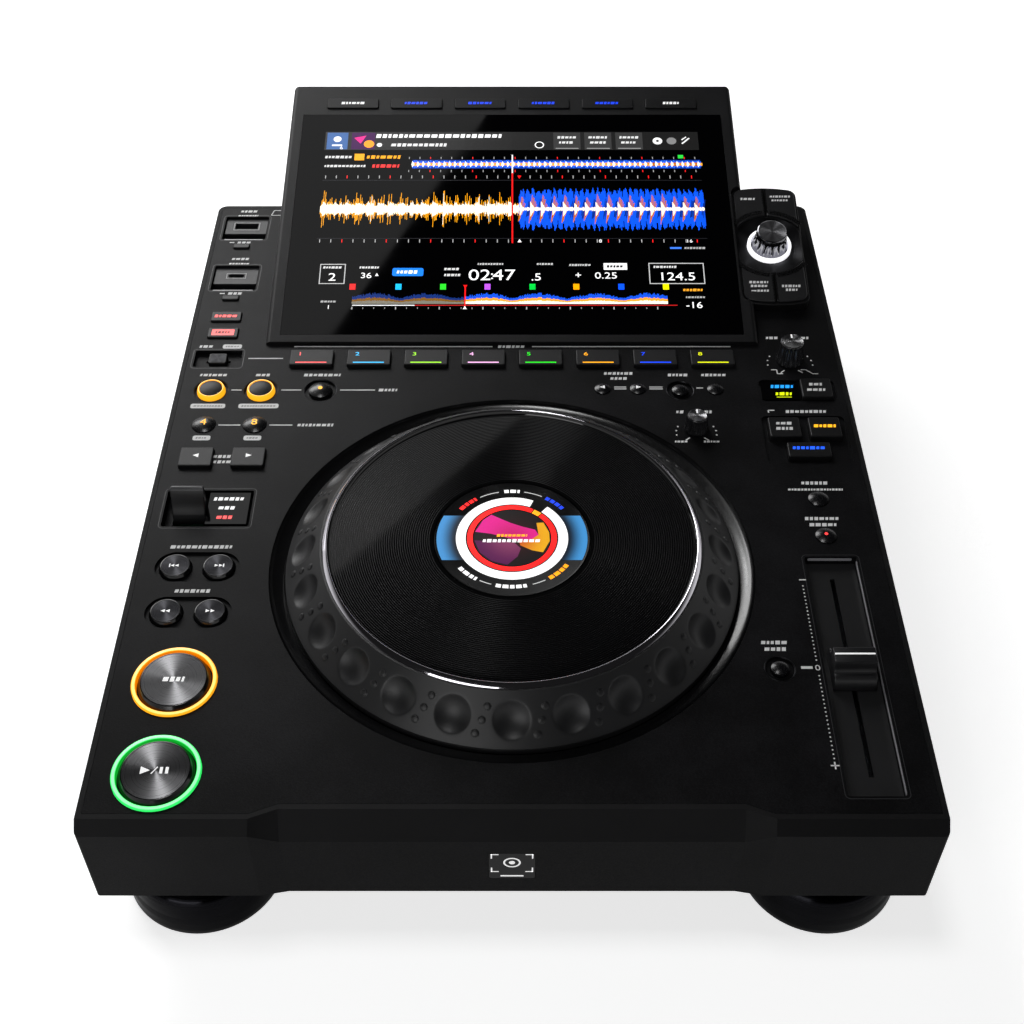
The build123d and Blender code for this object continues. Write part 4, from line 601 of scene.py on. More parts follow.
# key, tempo and the two rows beside the small wave
paint("#f0a014", [bar(-84.2, 130.3, 5.4, 5.0)], 2)
rows_of("#f0a014", -80.0, -61.6, 130.3, 3.0)
rows_of("#c8c8c8", -103.0, -88.5, 130.3, 2.2)
rows_of("#e63232", -76.7, -62.0, 123.4, 2.8)
rows_of("#c8c8c8", -103.0, -80.5, 123.4, 1.9)
# small wave: a blue band with an amber middle and white pulses
small_wave = 124.75
paint("#0a2f8c", [bar(24.4, small_wave, 158.4, 6.5)])
x = -54.8
beat = 0
while x < picture_right:
    tall = random.uniform(2.0, 3.0)
    paint("#1e64f0", [bar(x + 0.3, small_wave, 0.7, 2 * tall)], 2)
    paint("#f0a028", [bar(x + 0.9, small_wave, 0.9, random.uniform(1.4, 2.8))], 3)
    if beat % 3 == 0:
        pulse = [(x, small_wave - 2.35), (x + 1.2, small_wave), (x, small_wave + 2.35), (x - 0.5, small_wave)]
        paint("#f4f0e6", [pulse], 4)
    if x > 70 and beat % 4 == 1:
        paint("#8c4a0a", [disc(x, small_wave, 1.5, 10)], 3)
    x += 0.97
    beat += 1
for k in range(-10, 18):
    colour = "#e61e1e" if k % 4 == 0 else "#8c8c8c"
    paint(colour, [bar(1.7 + 5.83 * k, row, 0.45, 1.6) for row in (129.6, 119.6)], 2)
paint("#28c83c", [bar(93.0, 130.6, 3.0, 2.6)], 3)
# the large wave: past beats in cream and amber on the left, coming beats in blue on the right
wave_middle = 91.2
wave_step = 0.44
beat_length = 5.88
downbeat = 4.0
x = -103.0
while x < 3.6:
    phase = ((x - downbeat) / beat_length) % 1.0
    core = 2.8 + 2.0 * (1 - phase) ** 2 + random.uniform(-0.9, 1.0)
    spike = random.random() ** 2.2 * 9.0 * (1.1 - 0.7 * phase)
    paint("#f5a000", [bar(x, wave_middle + random.uniform(-0.6, 0.6), 0.3, 2 * (core + spike))], 2)
    paint("#f6ecd8", [bar(x, wave_middle, 0.42, 2 * core)], 3)
    if random.random() < 0.12:
        paint("#f6ecd8", [bar(x, wave_middle, 0.26, 2 * (core + spike * 0.8))], 3)
    x += wave_step
while x < picture_right:
    phase = ((x - downbeat) / beat_length) % 1.0
    body = 9.4 + 5.6 * abs(sin((x - downbeat) * 1.068)) ** 0.6 + random.uniform(-2.2, 0.8)
    paint("#0a50e6", [bar(x, wave_middle, 0.42, 2 * body)], 2)
    if phase < 0.42:
        low = 11.0 * (1 - 1.6 * phase) + random.uniform(-1.6, 0.6)
        paint("#b86400", [bar(x, wave_middle, 0.4, 2 * low, 2.0)], 3)
    if phase > 0.7:
        paint("#06287a", [bar(x, wave_middle, 0.4, 2 * random.uniform(4.0, 8.0), 1.6)], 3)
    core = max(0.0, 4.4 * (1 - 3.0 * phase)) + random.uniform(0.7, 1.5)
    paint("#f6ecd8", [bar(x, wave_middle, wave_step, 2 * core)], 4)
    x += wave_step
paint("#1e1e22", [bar(0, row, 207.0, 0.35) for row in (112.6, 70.0)])
for k in range(-18, 17):
    colour = "#f01e1e" if k % 4 == 0 else "#a0a0a0"
    paint(colour, [bar(downbeat + beat_length * k, row, 0.45, 2.2) for row in (115.1, 68.2)], 2)
paint("#f4f4f4", [bar(0.2, 125.0, 0.7, 13.8)], 5)
paint("#f01414", [bar(0.2, 92.4, 0.8, 51.4)], 5)
paint("#f01414", [arrow(downbeat, 115.1, 2.6, -90)], 5)
paint("#f4f4f4", [arrow(downbeat, 68.2, 2.6, 90)], 5)
paint("#3c78f0", [bar(86.4, 63.2, 6.0, 1.2)], 2)
rows_of("#a0a0a0", 91.0, 102.0, 63.2, 1.6)
# row of times
paint("#b4b4b4", outline(-93.6, 45.15, 13.4, 13.7, 0.5), 2)
rows_of("#c8c8c8", -98.6, -88.6, 49.6, 1.7)
paint("#e8e8e8", [arrow(-70.4, 44.6, 2.4, 90)], 2)
rows_of("#c8c8c8", -79.6, -69.0, 49.6, 1.7)
paint("#1478f0", [pill(-54.3, 46.45, 16.2, 5.5, 1.2)], 2)
rows_of("#f0f0f0", -60.0, -48.6, 46.45, 2.6, 3)
for y in (48.5, 44.4):
    rows_of("#c8c8c8", -35.3, -27.0, y, 1.8)
for x0, x1, y in ((-18.0, -4.6, 52.0), (13.0, 22.0, 52.0), (30.0, 41.6, 51.3)):
    rows_of("#b4b4b4", x0, x1, y, 1.5)
paint("#e8e8e8", [bar(34.5, 44.4, 3.0, 0.6), bar(34.5, 44.4, 0.6, 3.0)], 2)
paint("#e8e8e8", [bar(54.05, 50.3, 12.3, 4.6)], 2)
rows_of("#202020", 49.6, 58.6, 50.3, 1.9, 3)
paint("#b4b4b4", outline(85.85, 45.5, 28.9, 14.4, 0.5), 2)
rows_of("#c8c8c8", 74.0, 86.0, 50.0, 1.7)
# cue marks, the whole track and its clock
marks = ((-82.6, "#f02828"), (-58.8, "#14b4ee"), (-35.7, "#28d228"), (-12.7, "#b450e6"),
         (10.6, "#00c83c"), (33.3, "#ffa000"), (56.6, "#0a50ff"), (79.7, "#e6e600"))
for x, colour in marks:
    paint(colour, [bar(x, 36.4, 3.1, 3.9)], 3)
track_left = -82.1
track_foot = 24.8
played_to = -24.2
x = track_left
while x < 80.0:
    part = 0.5 + 0.5 * abs(sin(x * 0.11)) * (0.6 + 0.4 * abs(cos(x * 0.053)))
    tall = 8.0 * part * random.uniform(0.78, 1.0)
    played = x < played_to
    paint("#0c2a6e" if played else "#1450dc", [bar(x, track_foot + tall / 2, 0.5, tall)])
    paint("#7a5214" if played else "#f0a028", [bar(x, track_foot + tall * 0.3, 0.5, tall * 0.6)], 2)
    paint("#787468" if played else "#f4ecdc", [bar(x, track_foot + tall * 0.16, 0.5, tall * 0.32)], 3)
    x += 0.54
paint("#f01414", [bar(played_to, 29.6, 0.7, 12.6), arrow(played_to, 36.6, 2.6, -90)], 5)
paint("#f4f4f4", [arrow(played_to, 22.2, 2.4, 90)], 5)
paint("#e8e8e8", [bar(-66.05, 23.9, 32.1, 0.5)], 4)
paint("#c81e1e", [bar(17.5, 23.9, 135.0, 0.4)], 4)
for n in range(29):
    wide, tall = (0.3, 0.9) if n % 4 else (0.55, 1.7)
    paint("#a0a0a0", [bar(track_left + 5.6 * n, 22.0, wide, tall)], 2)
rows_of("#a0a0a0", -98.4, -90.0, 26.4, 1.5)
rows_of("#f0a028", 88.6, 99.0, 34.2, 1.9)
rows_of("#a0a0a0", 89.6, 99.4, 29.3, 1.5)
for (colour, layer), shapes in pictures.items():
    lit = glow("screen_" + colour[1:], colour, 1.0, 0.2)
    ink("screen_%s_%d" % (colour[1:], layer), shapes, lit, "root", display_place, rise=0.02 + 0.015 * layer)
figures = [
    ("2", -93.6, 43.2, 5.4), ("36", -76.0, 44.2, 3.8), ("02", -16.9, 44.7, 7.6), (":", -10.4, 44.7, 6.0),
    ("47", -4.2, 44.7, 7.6), (".5", 12.6, 43.2, 5.0), ("0.25", 49.0, 44.2, 4.4), ("124.5", 85.9, 43.6, 5.6),
    ("1", -94.2, 22.8, 2.6), ("-16", 93.6, 24.2, 4.2), ("8", 46.8, 68.2, 2.2), ("16", 93.9, 68.2, 2.2),
    ("6", -94.6, 137.6, 2.4),
]
# The figures are drawn by the same lit panel, in plain white.
figure_white = glow("screen_figures_white", "#f0f0f0", 1.0, 0.2)
numerals("screen_figures", figures, figure_white, "root", display_place, rise=0.09)

# ------------------------------------------------------------------ lit rings
# Rings of clear acrylic bring light up from the board round the most used keys, and glow in its colour.
# Each is pressed into a seat in the deck; a paler copy of its colour along the crest is painted highlight,
# and a deeper copy on the walls is painted shade.
left_column = -147.2
inner_column = -122.9
dial_column = -136.9
cue_row = 64.4
play_row = 20.5
loop_row = 243.2


def on_deck(x, back, rise=0.0):
    """The place of a control, from the deck's middle and its front edge, in mm."""
    return Matrix.Translation((x * MM, front_edge + back * MM, deck_top + rise * MM))


def light_ring(name, outer, inner, low, top, shades, place, lean=0.0):
    """One ring with rounded edges in three colours: the body,
    a painted highlight on the crest and painted shade on the inner wall.
    """
    upper = outer - lean
    profile = [
        (inner, low), (outer, low), (outer, low + 0.8), (upper, top - 0.4), (upper - 0.12, top - 0.15),
        (upper - 0.35, top), (inner + 0.3, top), (inner + 0.1, top - 0.15), (inner, top - 0.4),
    ]
    # the crest and the wall take the paler and deeper copies: painted highlight and painted shade
    body, crest, wall = shades
    bands = [(crest, lambda p: p.z > top - 0.05), (wall, lambda p: hypot(p.x, p.y) < inner + 0.08)]
    made = turned(name, profile, body, "root", place, 128, bands)
    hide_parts("light_rings")
    return made


def ring_shades(name, *colours):
    """The lit plastic of a ring: its body, a paler copy on the crest as painted highlight
    and a deeper copy on the inner wall as painted shade.
    """
    return [glow(name + part, colour, 1.0, 0.3) for part, colour in zip(("", "_crest", "_wall"), colours)]


# Frosted acrylic carries the light evenly; the pale crest is painted highlight and the deep walls are painted
# shade.
ring_amber = ring_shades("ring_amber", "#ffa81c", "#ffd670", "#ee7c00")
ring_green = ring_shades("ring_green", "#2fe866", "#8effa8", "#10a82c")
ring_yellow = ring_shades("ring_yellow", "#ffb21e", "#ffe9a4", "#f59a12")
light_ring("cue_ring", 17.35, 15.5, -2.0, 1.0, ring_amber, on_deck(dial_column, cue_row))
light_ring("play_ring", 17.35, 15.5, -2.0, 1.0, ring_green, on_deck(dial_column, play_row))
for name, x in (("loop_in_ring", left_column), ("loop_out_ring", inner_column)):
    light_ring(name, 6.9, 5.6, -1.2, 1.7, ring_yellow, on_deck(x, loop_row), 0.45)

# ------------------------------------------------------------------ round keys
# The transport keys are gloss black mouldings with a spun aluminium disc glued into the top.
# The smaller round keys are plain black domes. Each stands on a stem over its switch.
# Moulded gloss black has a skin like lacquer and a very slight ripple.
key_gloss = grained("key_plastic_gloss", "#070708", "#0b0b0d", 0.14, 0.8, 0.004, 0.03, Specular_IOR_Level=0.5)
# The domes come from a duller mould, so their highlights are wider and softer.
dome_gloss = grained("key_dome_gloss", "#0b0b0d", "#111113", 0.26, 0.8, 0.004, 0.03, Specular_IOR_Level=0.45)
# Spun aluminium, anodised dark: rings 0.35 mm apart, drawn coarser than the tool's.
# Both finishes carry painted highlight wedges in their colour, fixed by angle round the key.
spun_dark = ringed("spun_aluminium_dark", "#868688", 0.3, 0.35, 0.0003, 0.72)
spun_black = ringed("spun_aluminium_black", "#3a3a3d", 0.3, 0.35, 0.0003, 0.7)


def transport_key(node, x, back, radius, face, top, stem, metal, steps=96):
    """A key with a sloping skirt round a flat metal disc."""
    profile = [
        (0, stem), (1.7, stem), (1.7, -4.5), (radius + 1, -4.5), (radius + 1, -3.3), (radius, -3.3),
        (radius, top - 1.6), (radius - 0.12, top - 1.4), (face + 0.5, top - 0.42), (face + 0.3, top - 0.1),
        (face + 0.05, top), (face - 0.15, top - 0.02), (face - 0.2, top - 0.1), (0, top - 0.1),
    ]
    disc_face = [(metal, lambda p: p.z > top - 0.15 and hypot(p.x, p.y) < face - 0.1)]
    made = turned(node + "_cap", profile, key_gloss, node, on_deck(x, back), steps, disc_face)
    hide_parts(node)


for node, back in (("cue_button", cue_row), ("play_button", play_row)):
    transport_key(node, dial_column, back, 14.7, 13.2, 2.0, -11.0, spun_dark)
skip_keys = {
    "track_back_button": (-146.4, 127.2),
    "track_forward_button": (-127.6, 127.2),
    "search_back_button": (-146.4, 101.4),
    "search_forward_button": (-127.6, 101.4),
}
for node, (x, back) in skip_keys.items():
    transport_key(node, x, back, 7.1, 6.1, 1.0, -11.5, spun_black, 64)
play_signs = [arrow(-4.3, 0, 4.4), stroke(-1.5, -1.6, 0.7, 1.6, 0.45)]
play_signs += [bar(2.2, 0, 1.2, 3.0), bar(4.4, 0, 1.2, 3.0)]
ink("play_mark", play_signs, caption_white, "play_button", on_deck(dial_column, play_row, 1.9))
ink("cue_mark", dashes(0, 0, 8.6, 2.9), caption_white, "cue_button", on_deck(dial_column, cue_row, 1.9))
for node, shapes in (
    ("track_back_button", [bar(-2.3, 0, 0.5, 1.9), arrow(-1.0, 0, 1.9, 180), arrow(0.9, 0, 1.9, 180)]),
    ("track_forward_button", [arrow(-0.9, 0, 1.9), arrow(1.0, 0, 1.9), bar(2.3, 0, 0.5, 1.9)]),
    ("search_back_button", [arrow(-1.0, 0, 2.1, 180), arrow(1.1, 0, 2.1, 180)]),
    ("search_forward_button", [arrow(-1.1, 0, 2.1), arrow(1.0, 0, 2.1)]),
):
    ink(node + "_mark", shapes, caption_white, node, on_deck(*skip_keys[node], 0.9))


def domed_key(name, node, x, back, radius, base, crown, finish):
    """A key with a low round top on a stem."""
    sphere = (radius**2 + crown**2) / (2 * crown)
    profile = [(0, -11.5), (1.7, -11.5), (1.7, -4.5), (radius + 1, -4.5), (radius + 1, -3.3), (radius, -3.3)]
    profile.append((radius, base))
    for i in range(1, 12):
        r = radius * (1 - i / 12)
        profile.append((r, base + crown - sphere + sqrt(sphere**2 - r**2)))
    profile.append((0, base + crown))
    made = turned(name, profile, finish, node, on_deck(x, back), 64)
    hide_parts(node)


for node, x in (("loop_in_button", left_column), ("loop_out_button", inner_column)):
    domed_key(node + "_cap", node, x, loop_row, 5.4, 1.5, 0.7, key_satin)
right_column = 139.2
reloop_column = -93.7
call_columns = {"back": 44.4, "forward": 61.7}
call_row = 244.2
beat_row = 218.3
hold_row = 145.5
for node, x, back, radius in (
    ("reloop_button", reloop_column, loop_row, 5.6), ("beat_4_button", left_column, beat_row, 5.6),
    ("beat_8_button", inner_column, beat_row, 5.6), ("delete_button", 82.3, loop_row, 3.9),
    ("memory_button", 99.5, 243.8, 3.9), ("range_button", right_column, 168.5, 4.6),
    ("hold_button", right_column, hold_row, 4.6), ("reset_button", 109.5, 71.2, 3.6),
):
    domed_key(node + "_cap", node, x, back, radius, 0.4, radius * 0.25, dome_gloss)
for side, x in call_columns.items():
    domed_key("call_%s_cap" % side, "call_keys", x, call_row, 3.9, 0.4, 0.975, dome_gloss)
# Lamps shine through small clear windows in the keys, flat and even.
lamp_amber = glow("lamp_amber", "#ffb41e", 1.0)
lamp_red = glow("lamp_red", "#ff4646", 1.0)
for figure, x in (("4", left_column), ("8", inner_column)):
    beat_key = "beat_%s_button" % figure
    crest = on_deck(x, beat_row, 1.7)
    numerals("beat_%s_figure" % figure, [(figure, 0, 0.4, 4.0)], lamp_amber, beat_key, crest, rise=0.16)
reloop_top = on_deck(reloop_column, loop_row, 1.7)
hold_top = on_deck(right_column, hold_row, 1.45)
ink("reloop_lamp", [disc(0, 0, 1.1)], lamp_amber, "reloop_button", reloop_top, rise=0.12)
ink("hold_lamp", [disc(0, 0, 0.8)], lamp_red, "hold_button", hold_top, rise=0.12)
call_signs = [arrow(call_columns["back"], call_row, 2.8, 180), arrow(call_columns["forward"], call_row, 2.8)]
call_face = deck_place @ Matrix.Translation((0, 0, 1.25 * MM))
ink("call_marks", call_signs, caption_white, "call_keys", call_face, rise=0.12, sunk=0.1)
# thin turned trims round the keys that stand in a round recess
trim_metal = ringed("recess_trim_black", "#2c2c2e", 0.38, 0.4, 0.002)
trim_section = ((-0.55, -0.6), (-0.05, -0.6), (-0.05, -0.12), (-0.2, -0.02), (-0.4, -0.12))
for name, x, back, radius in (
    ("loop_in", left_column, loop_row, 8.7), ("loop_out", inner_column, loop_row, 8.7),
    ("reloop", reloop_column, loop_row, 8.2), ("delete", 82.3, loop_row, 6.9), ("reset", 109.5, 71.2, 6.5),
):
    section = [(radius + inset, z) for inset, z in trim_section]
    trim = turned(name + "_recess_trim", section, trim_metal, "root", on_deck(x, back), 64)

# ------------------------------------------------------------------ encoder pod
# The pod is a narrow moulding beside the display that leans with it and carries a push-and-turn knob.
# A thin spun aluminium dish lies in its top, and four satin keys fill its two ends.
pod_foot = (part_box("body_shell")[1].x - 28.0 * MM, front_edge + 304.0 * MM, deck_top + 5.0 * MM)
pod_place = Matrix.Translation(pod_foot) @ tilted
dish_place = pod_place @ Matrix.Translation((0, 41.5 * MM, 0))
dish_sphere = 81.24
dish_sunk = 2.4
dish_bore = 12.35
dish_edge = 19.4
dish_side = 16.5
# The pod's keys are moulded with a finer haze, so they are a little glossier than the case.
pod_satin = grained("pod_plastic_satin", "#101012", "#19191b", 0.42, 0.5, 0.012, Specular_IOR_Level=0.42)
dress(housing_abs, "encoder_pod")
dress(pod_satin, "pod_keys")


def dish_section(turn):
    """The dish's section at an angle: a shallow bowl 0.22 mm thick, cut off at its two straight sides."""
    reach = min(dish_edge, dish_side / max(abs(cos(turn)), 0.001))
    radii = [dish_bore + (reach - dish_bore) * loop / 6 for loop in range(7)]
    sheet = [(radius, 0.12) for radius in radii] + [(reach, -0.1), (dish_bore, -0.1)]
    return [(r, dish_sphere - dish_sunk - sqrt(dish_sphere**2 - r**2) + rise) for r, rise in sheet]


# Spun aluminium, anodised black, with painted highlight wedges in its colour that cross the dish
# and stay the same in any light.
dish_metal = ringed("dish_spun_black", "#4e4e51", 0.34, 0.4, 0.0003, 0.95)
dish = turned("pod_dish", dish_section, dish_metal, "root", dish_place, 144)
ring_white = ring_shades("encoder_ring_white", "#f2f2f6", "#ffffff", "#c8c8d2")
light_ring("encoder_light_ring", 11.6, 9.9, -3.2, 0.6, ring_white, dish_place)


def woven(rows, count, start=0, closed=False):
    """Faces between rows of count points, each row a loop; closed joins the last row to the first."""
    faces = []
    for row in range(rows if closed else rows - 1):
        here = start + row * count
        there = start + (row + 1) % rows * count
        for i in range(count):
            j = (i + 1) % count
            faces.append((here + i, here + j, there + j, there + i))
    return faces


def fluted(name, levels, count, node, place, body, bands):
    """A turned knob with hollows round its skirt: levels are (radius, height, hollow's depth) in mm."""
    per = 12
    steps = count * per
    points = []
    for radius, height, depth in levels:
        for step in range(steps):
            part = step % per / per * 2 - 1
            hollow = max(0.0, 1 - part**2 * 1.7)
            r = radius - depth * hollow
            turn = 2 * pi * step / steps + pi / count
            points.append((r * cos(turn) * MM, r * sin(turn) * MM, height * MM))
    faces = woven(len(levels), steps, closed=True)
    knob = solid(name, points, faces, body, node, place, crease=32, bands=bands)
    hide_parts(node)


# The knob is chromed: its hollows gather the light of the ring under it.
knob_chrome = grained("knob_chrome", "#8a8a8e", "#96969a", 0.1, 0.8, 0.003, 0.03, Metallic=1.0)
# The knob's top is bare spun aluminium, with the same painted highlight wedges in its colour.
knob_spun = ringed("knob_top_spun", "#b4b4b8", 0.4, 0.3, 0.0003, 0.85)
encoder_levels = [
    (0.0, 8.85, 0), (3.25, 8.85, 0), (3.25, -1.3, 0), (9.0, -1.3, 0.25), (9.35, -0.9, 0.3), (9.28, -0.1, 0.9),
    (9.15, 0.7, 1.25), (8.95, 1.9, 1.35), (8.75, 3.3, 1.3), (8.5, 4.8, 1.15), (8.35, 5.9, 0.8),
    (8.22, 6.6, 0.35), (8.15, 7.1, 0.0), (7.92, 9.1, 0.0), (7.8, 9.9, 0.0), (7.65, 10.3, 0.0),
    (7.3, 10.5, 0.0), (7.1, 10.42, 0.0), (0.0, 10.42, 0),
]
encoder_face = [(knob_spun, lambda p: p.z > 10.35 and hypot(p.x, p.y) < 7.2)]
fluted("encoder_knob_fluted", encoder_levels, 14, "encoder_knob", dish_place, knob_chrome, encoder_face)
pod_top = pod_place @ Matrix.Translation((0, 0, 1.2 * MM))
# the ribs between the keys lie in shadow, so a matt black strip is laid on them as painted shade
rib_painted_shade = grained("pod_rib_painted_shade", "#020202", "#050505", 0.7, 0.8, 0.01, Specular_IOR_Level=0.1)
ink("pod_rib_shade_strips", [bar(0, 11.2, 1.1, 20.0), bar(0, 72.4, 1.1, 18.0)], rib_painted_shade, "root", pod_place, rise=0.05)
# each key's edge toward the dish and beside the gaps gets a darker band: painted shade where the key
# falls away in a bevel
bevel_painted_shade = grained("pod_key_bevel_painted_shade", "#070708", "#0b0b0d", 0.3, 0.8, 0.008, Specular_IOR_Level=0.4)
bevel_shade_marks = []
for start in (38, 95, 218, 275):
    bevel_shade_marks += arc(0, 41.5, 23.6, 20.9, start, start + 47)
for y, length in ((11.2, 20.0), (72.4, 18.0)):
    bevel_shade_marks += [bar(-0.85, y, 0.7, length), bar(0.85, y, 0.7, length)]
ink("pod_key_bevels", bevel_shade_marks, bevel_painted_shade, "pod_keys", pod_top, rise=0.03)
words = [bar(-11.2, 8.6, 2.6, 0.8)]
for x, y, width, height in (
    (-8.5, 73.6, 8.6, 2.1), (8.6, 75.4, 11.0, 1.7), (8.6, 72.6, 9.4, 1.7), (-8.2, 14.4, 9.8, 1.8),
    (-8.2, 11.8, 8.6, 1.8), (-6.4, 8.6, 6.0, 1.8), (8.4, 11.8, 9.6, 1.9), (8.4, 9.2, 6.0, 1.9),
):
    words += dashes(x, y, width, height)
ink("pod_key_words", words, white_ink, "pod_keys", pod_top)

# ------------------------------------------------------------------ jog wheel
# The wheel is one black moulding that turns on a ball bearing: a sloping band with 24 finger hollows,
# and small round buttons between them. A grooved aluminium plate drops into it and is glued down,
# and a round display stands still in the middle, on the bearing's spindle.
jog_back = 130.6
jog_place = Matrix.Translation((0, front_edge + jog_back * MM, deck_top))
hollow_count = 24
hollow_radius = 7.8
hollow_deep = 2.2
band_radius = 90.4
band_height = 7.1
band_half = 11.4551
band_sides = 8
sweep = 192

hollow_sphere = (hollow_radius**2 + hollow_deep**2) / (2 * hollow_deep)


def band_point(across, along, sink=0.0):
    """A point on the sloping band, in mm from the middle of the hollow that faces the front."""
    angle = -pi / 2 + across / band_radius
    radius = band_radius - along / sqrt(2)
    point = Vector((radius * cos(angle), radius * sin(angle), band_height + along / sqrt(2)))
    return point - Vector((0, -1, 1)) * sink / sqrt(2)


def hollow_point(across, along):
    """The same point let down into the hollow, whose rim is a little rounded."""
    point = band_point(across, along)
    up = Vector((0, -1, 1)) / sqrt(2)
    away = point - (Vector((0, -band_radius, band_height)) + up * (hollow_sphere - hollow_deep))
    inside = away.dot(up) ** 2 - away.length_squared + hollow_sphere**2
    depth = away.dot(up) + sqrt(inside) if inside > 0 else -9.0
    return band_point(across, along, (depth + sqrt(depth**2 + 0.06)) / 2)


# each hollow fills a patch of the band: rings of points run from the patch's four sides to its middle
half_sector = pi * band_radius / hollow_count
edge = []
for turn_x, turn_y in ((1, 0), (0, 1), (-1, 0), (0, -1)):
    for i in range(band_sides):
        t = 2 * i / band_sides - 1
        edge.append(((t * turn_x + turn_y) * half_sector, (t * turn_y - turn_x) * band_half))
rings = [[band_point(a, b) for a, b in edge]]
for share in (1.3, 1.15, 1.07, 1.02, 0.98, 0.93, 0.86, 0.74, 0.58, 0.38, 0.18):
    loop = []
    for a, b in edge:
        turn = atan2(b, a)
        loop.append(hollow_point(share * hollow_radius * cos(turn), share * hollow_radius * sin(turn)))
    rings.append(loop)
rings.append([hollow_point(0, 0)] * len(edge))
sector_points = [p for loop in rings for p in loop]
points = []
faces = []
for hollow in range(hollow_count):
    spin = Matrix.Rotation(2 * pi * hollow / hollow_count, 3, "Z")
    faces += woven(len(rings), len(edge), len(points))
    points += [spin @ p * MM for p in sector_points]
# the rest of the moulding: rim, underside, hub and the ledge that carries the plate
ring_outline = [
    (98.5, -1.0), (98.5, -4.2), (98.2, -4.5), (95.0, -4.5), (73.45, 4.0), (30.0, 4.0), (30.0, -1.85),
    (26.05, -1.85), (26.05, 8.0), (76.45, 8.0), (76.45, 12.5), (81.45, 12.5), (81.45, 15.2), (82.3, 15.2),
]
body_points, body_faces = revolved(ring_outline, sweep)
body_faces = [f for k, f in enumerate(body_faces) if k % len(ring_outline) != len(ring_outline) - 1]
start = len(points)
points += [Vector(p) for p in body_points]
faces += [tuple(start + i for i in face) for face in body_faces]
# Moulded ABS for hands: a satin grain that spreads a highlight softly over each hollow.
jog_abs = grained("jog_abs_satin", "#171718", "#1e1e20", 0.42, 0.4, 0.01, 0.04, Specular_IOR_Level=0.5)
jog_ring = solid("jog_ring_moulding", points, faces, jog_abs, "jog_wheel", jog_place, crease=30)
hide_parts("jog_ring")

# The well's wall is a separate gloss black ring that curves down to the floor, so light from the left
# lies on it as a bright crescent at the right.
well_gloss = grained("jog_well_gloss", "#0a0a0b", "#0e0e10", 0.2, 0.8, 0.004, 0.04, Specular_IOR_Level=0.6)
liner_section = [
    (105.6, -0.08), (105.25, -0.75), (104.8, -1.35), (104.3, -1.8), (103.6, -2.2), (102.6, -2.62),
    (101.4, -3.05), (100.2, -3.42), (99.3, -3.65), (99.3, -3.85), (101.4, -3.3), (103.5, -2.5),
    (104.7, -1.7), (105.4, -0.9), (105.65, -0.3),
]
liner = turned("jog_well_liner", liner_section, well_gloss, "root", jog_place, sweep)

# three small buttons on a slanted line between each pair of hollows
points = []
faces = []
stud_sides = 14
stud_section = ((1.5, -0.3), (1.75, -0.05), (1.75, 0.02), (1.45, 0.1), (1.35, 0.34), (1.05, 0.46), (0.5, 0.5))
for hollow in range(hollow_count):
    spin = Matrix.Rotation(2 * pi * (hollow + 0.5) / hollow_count, 3, "Z")
    for across, along in ((1.8, 5.0), (0.0, -0.5), (-2.1, -6.0)):
        start = len(points)
        for radius, rise in stud_section:
            for x, y in disc(across, along, radius, stud_sides):
                points.append(spin @ band_point(x, y, -rise) * MM)
        faces += woven(len(stud_section), stud_sides, start)
        faces.append(tuple(range(start, start + stud_sides)))
        faces.append(tuple(range(len(points) - stud_sides, len(points))))
studs = solid("jog_ring_studs", points, faces, jog_abs, "jog_wheel", jog_place, crease=40)

# The plate is lacquered gloss black after its grooves are cut, 0.96 mm apart; the lands between them
# stay flat, so they mirror the room in fine lines.
groove_pitch = 0.957
groove_floor = 14.8
plate_face = 15.0
plate_bore = 33.9
plate_outline = [
    (plate_bore, 12.5), (81.3, 12.5), (81.3, 15.15), (79.75, 16.85), (79.55, 16.95), (79.3, 16.9),
    (79.1, 16.7), (78.9, 16.2), (78.65, 15.5), (78.3, plate_face),
]
radius = 78.0
while radius - groove_pitch > 34.2:
    plate_outline += [(radius, plate_face), (radius - 0.13, groove_floor)]
    plate_outline += [(radius - 0.36, groove_floor), (radius - 0.49, plate_face)]
    radius -= groove_pitch
plate_outline.append((plate_bore, plate_face))
# Lacquer over aluminium is as smooth as glass and mirrors the lamps sharply.
plate_lacquer = grained(
    "plate_lacquer_black", "#070708", "#0a0a0b", 0.05, 0.8, 0.0006, 0.02, Specular_IOR_Level=0.5
)
# In the grooves the lacquer is left satin, so they stay dark where the lands between them mirror light.
groove_satin = grained(
    "plate_groove_satin", "#0d0d0f", "#131315", 0.34, 0.5, 0.004, 0.04, Specular_IOR_Level=0.3
)
# The rim of the plate is turned after the lacquer and chromed, so it is a bright line.
plate_chrome = grained("plate_rim_chrome", "#d2cfd6", "#dad7de", 0.07, 0.6, 0.001, 0.02, Metallic=1.0)
plate_bands = [
    (plate_chrome, lambda p: hypot(p.x, p.y) > 79.0 and p.z > 13),
    (groove_satin, lambda p: 34.2 < hypot(p.x, p.y) < 78.05 and 13 < p.z < 14.97),
]
jog_plate = turned(
    "jog_plate_grooved", plate_outline, plate_lacquer, "jog_wheel", jog_place, sweep, plate_bands
)
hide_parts("jog_top_plate")

# The display's window is a disc of clear polycarbonate, printed black behind, in a thin bezel.
window_black = smeared("jog_window_black", "#0b0b0c", 0.22, 60.0, 3.0, (0.3, 0.7), (0.18, 0.28), 0.4)
window_top = 14.92
window_section = [(0, 10.8), (33.4, 10.8), (33.4, 14.75), (33.1, 15.0), (32.7, window_top), (0, window_top)]
head = turned("jog_display_window", window_section, window_black, "root", jog_place, 128)
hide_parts("jog_display")
head_place = jog_place @ Matrix.Translation((0, 0, window_top * MM))


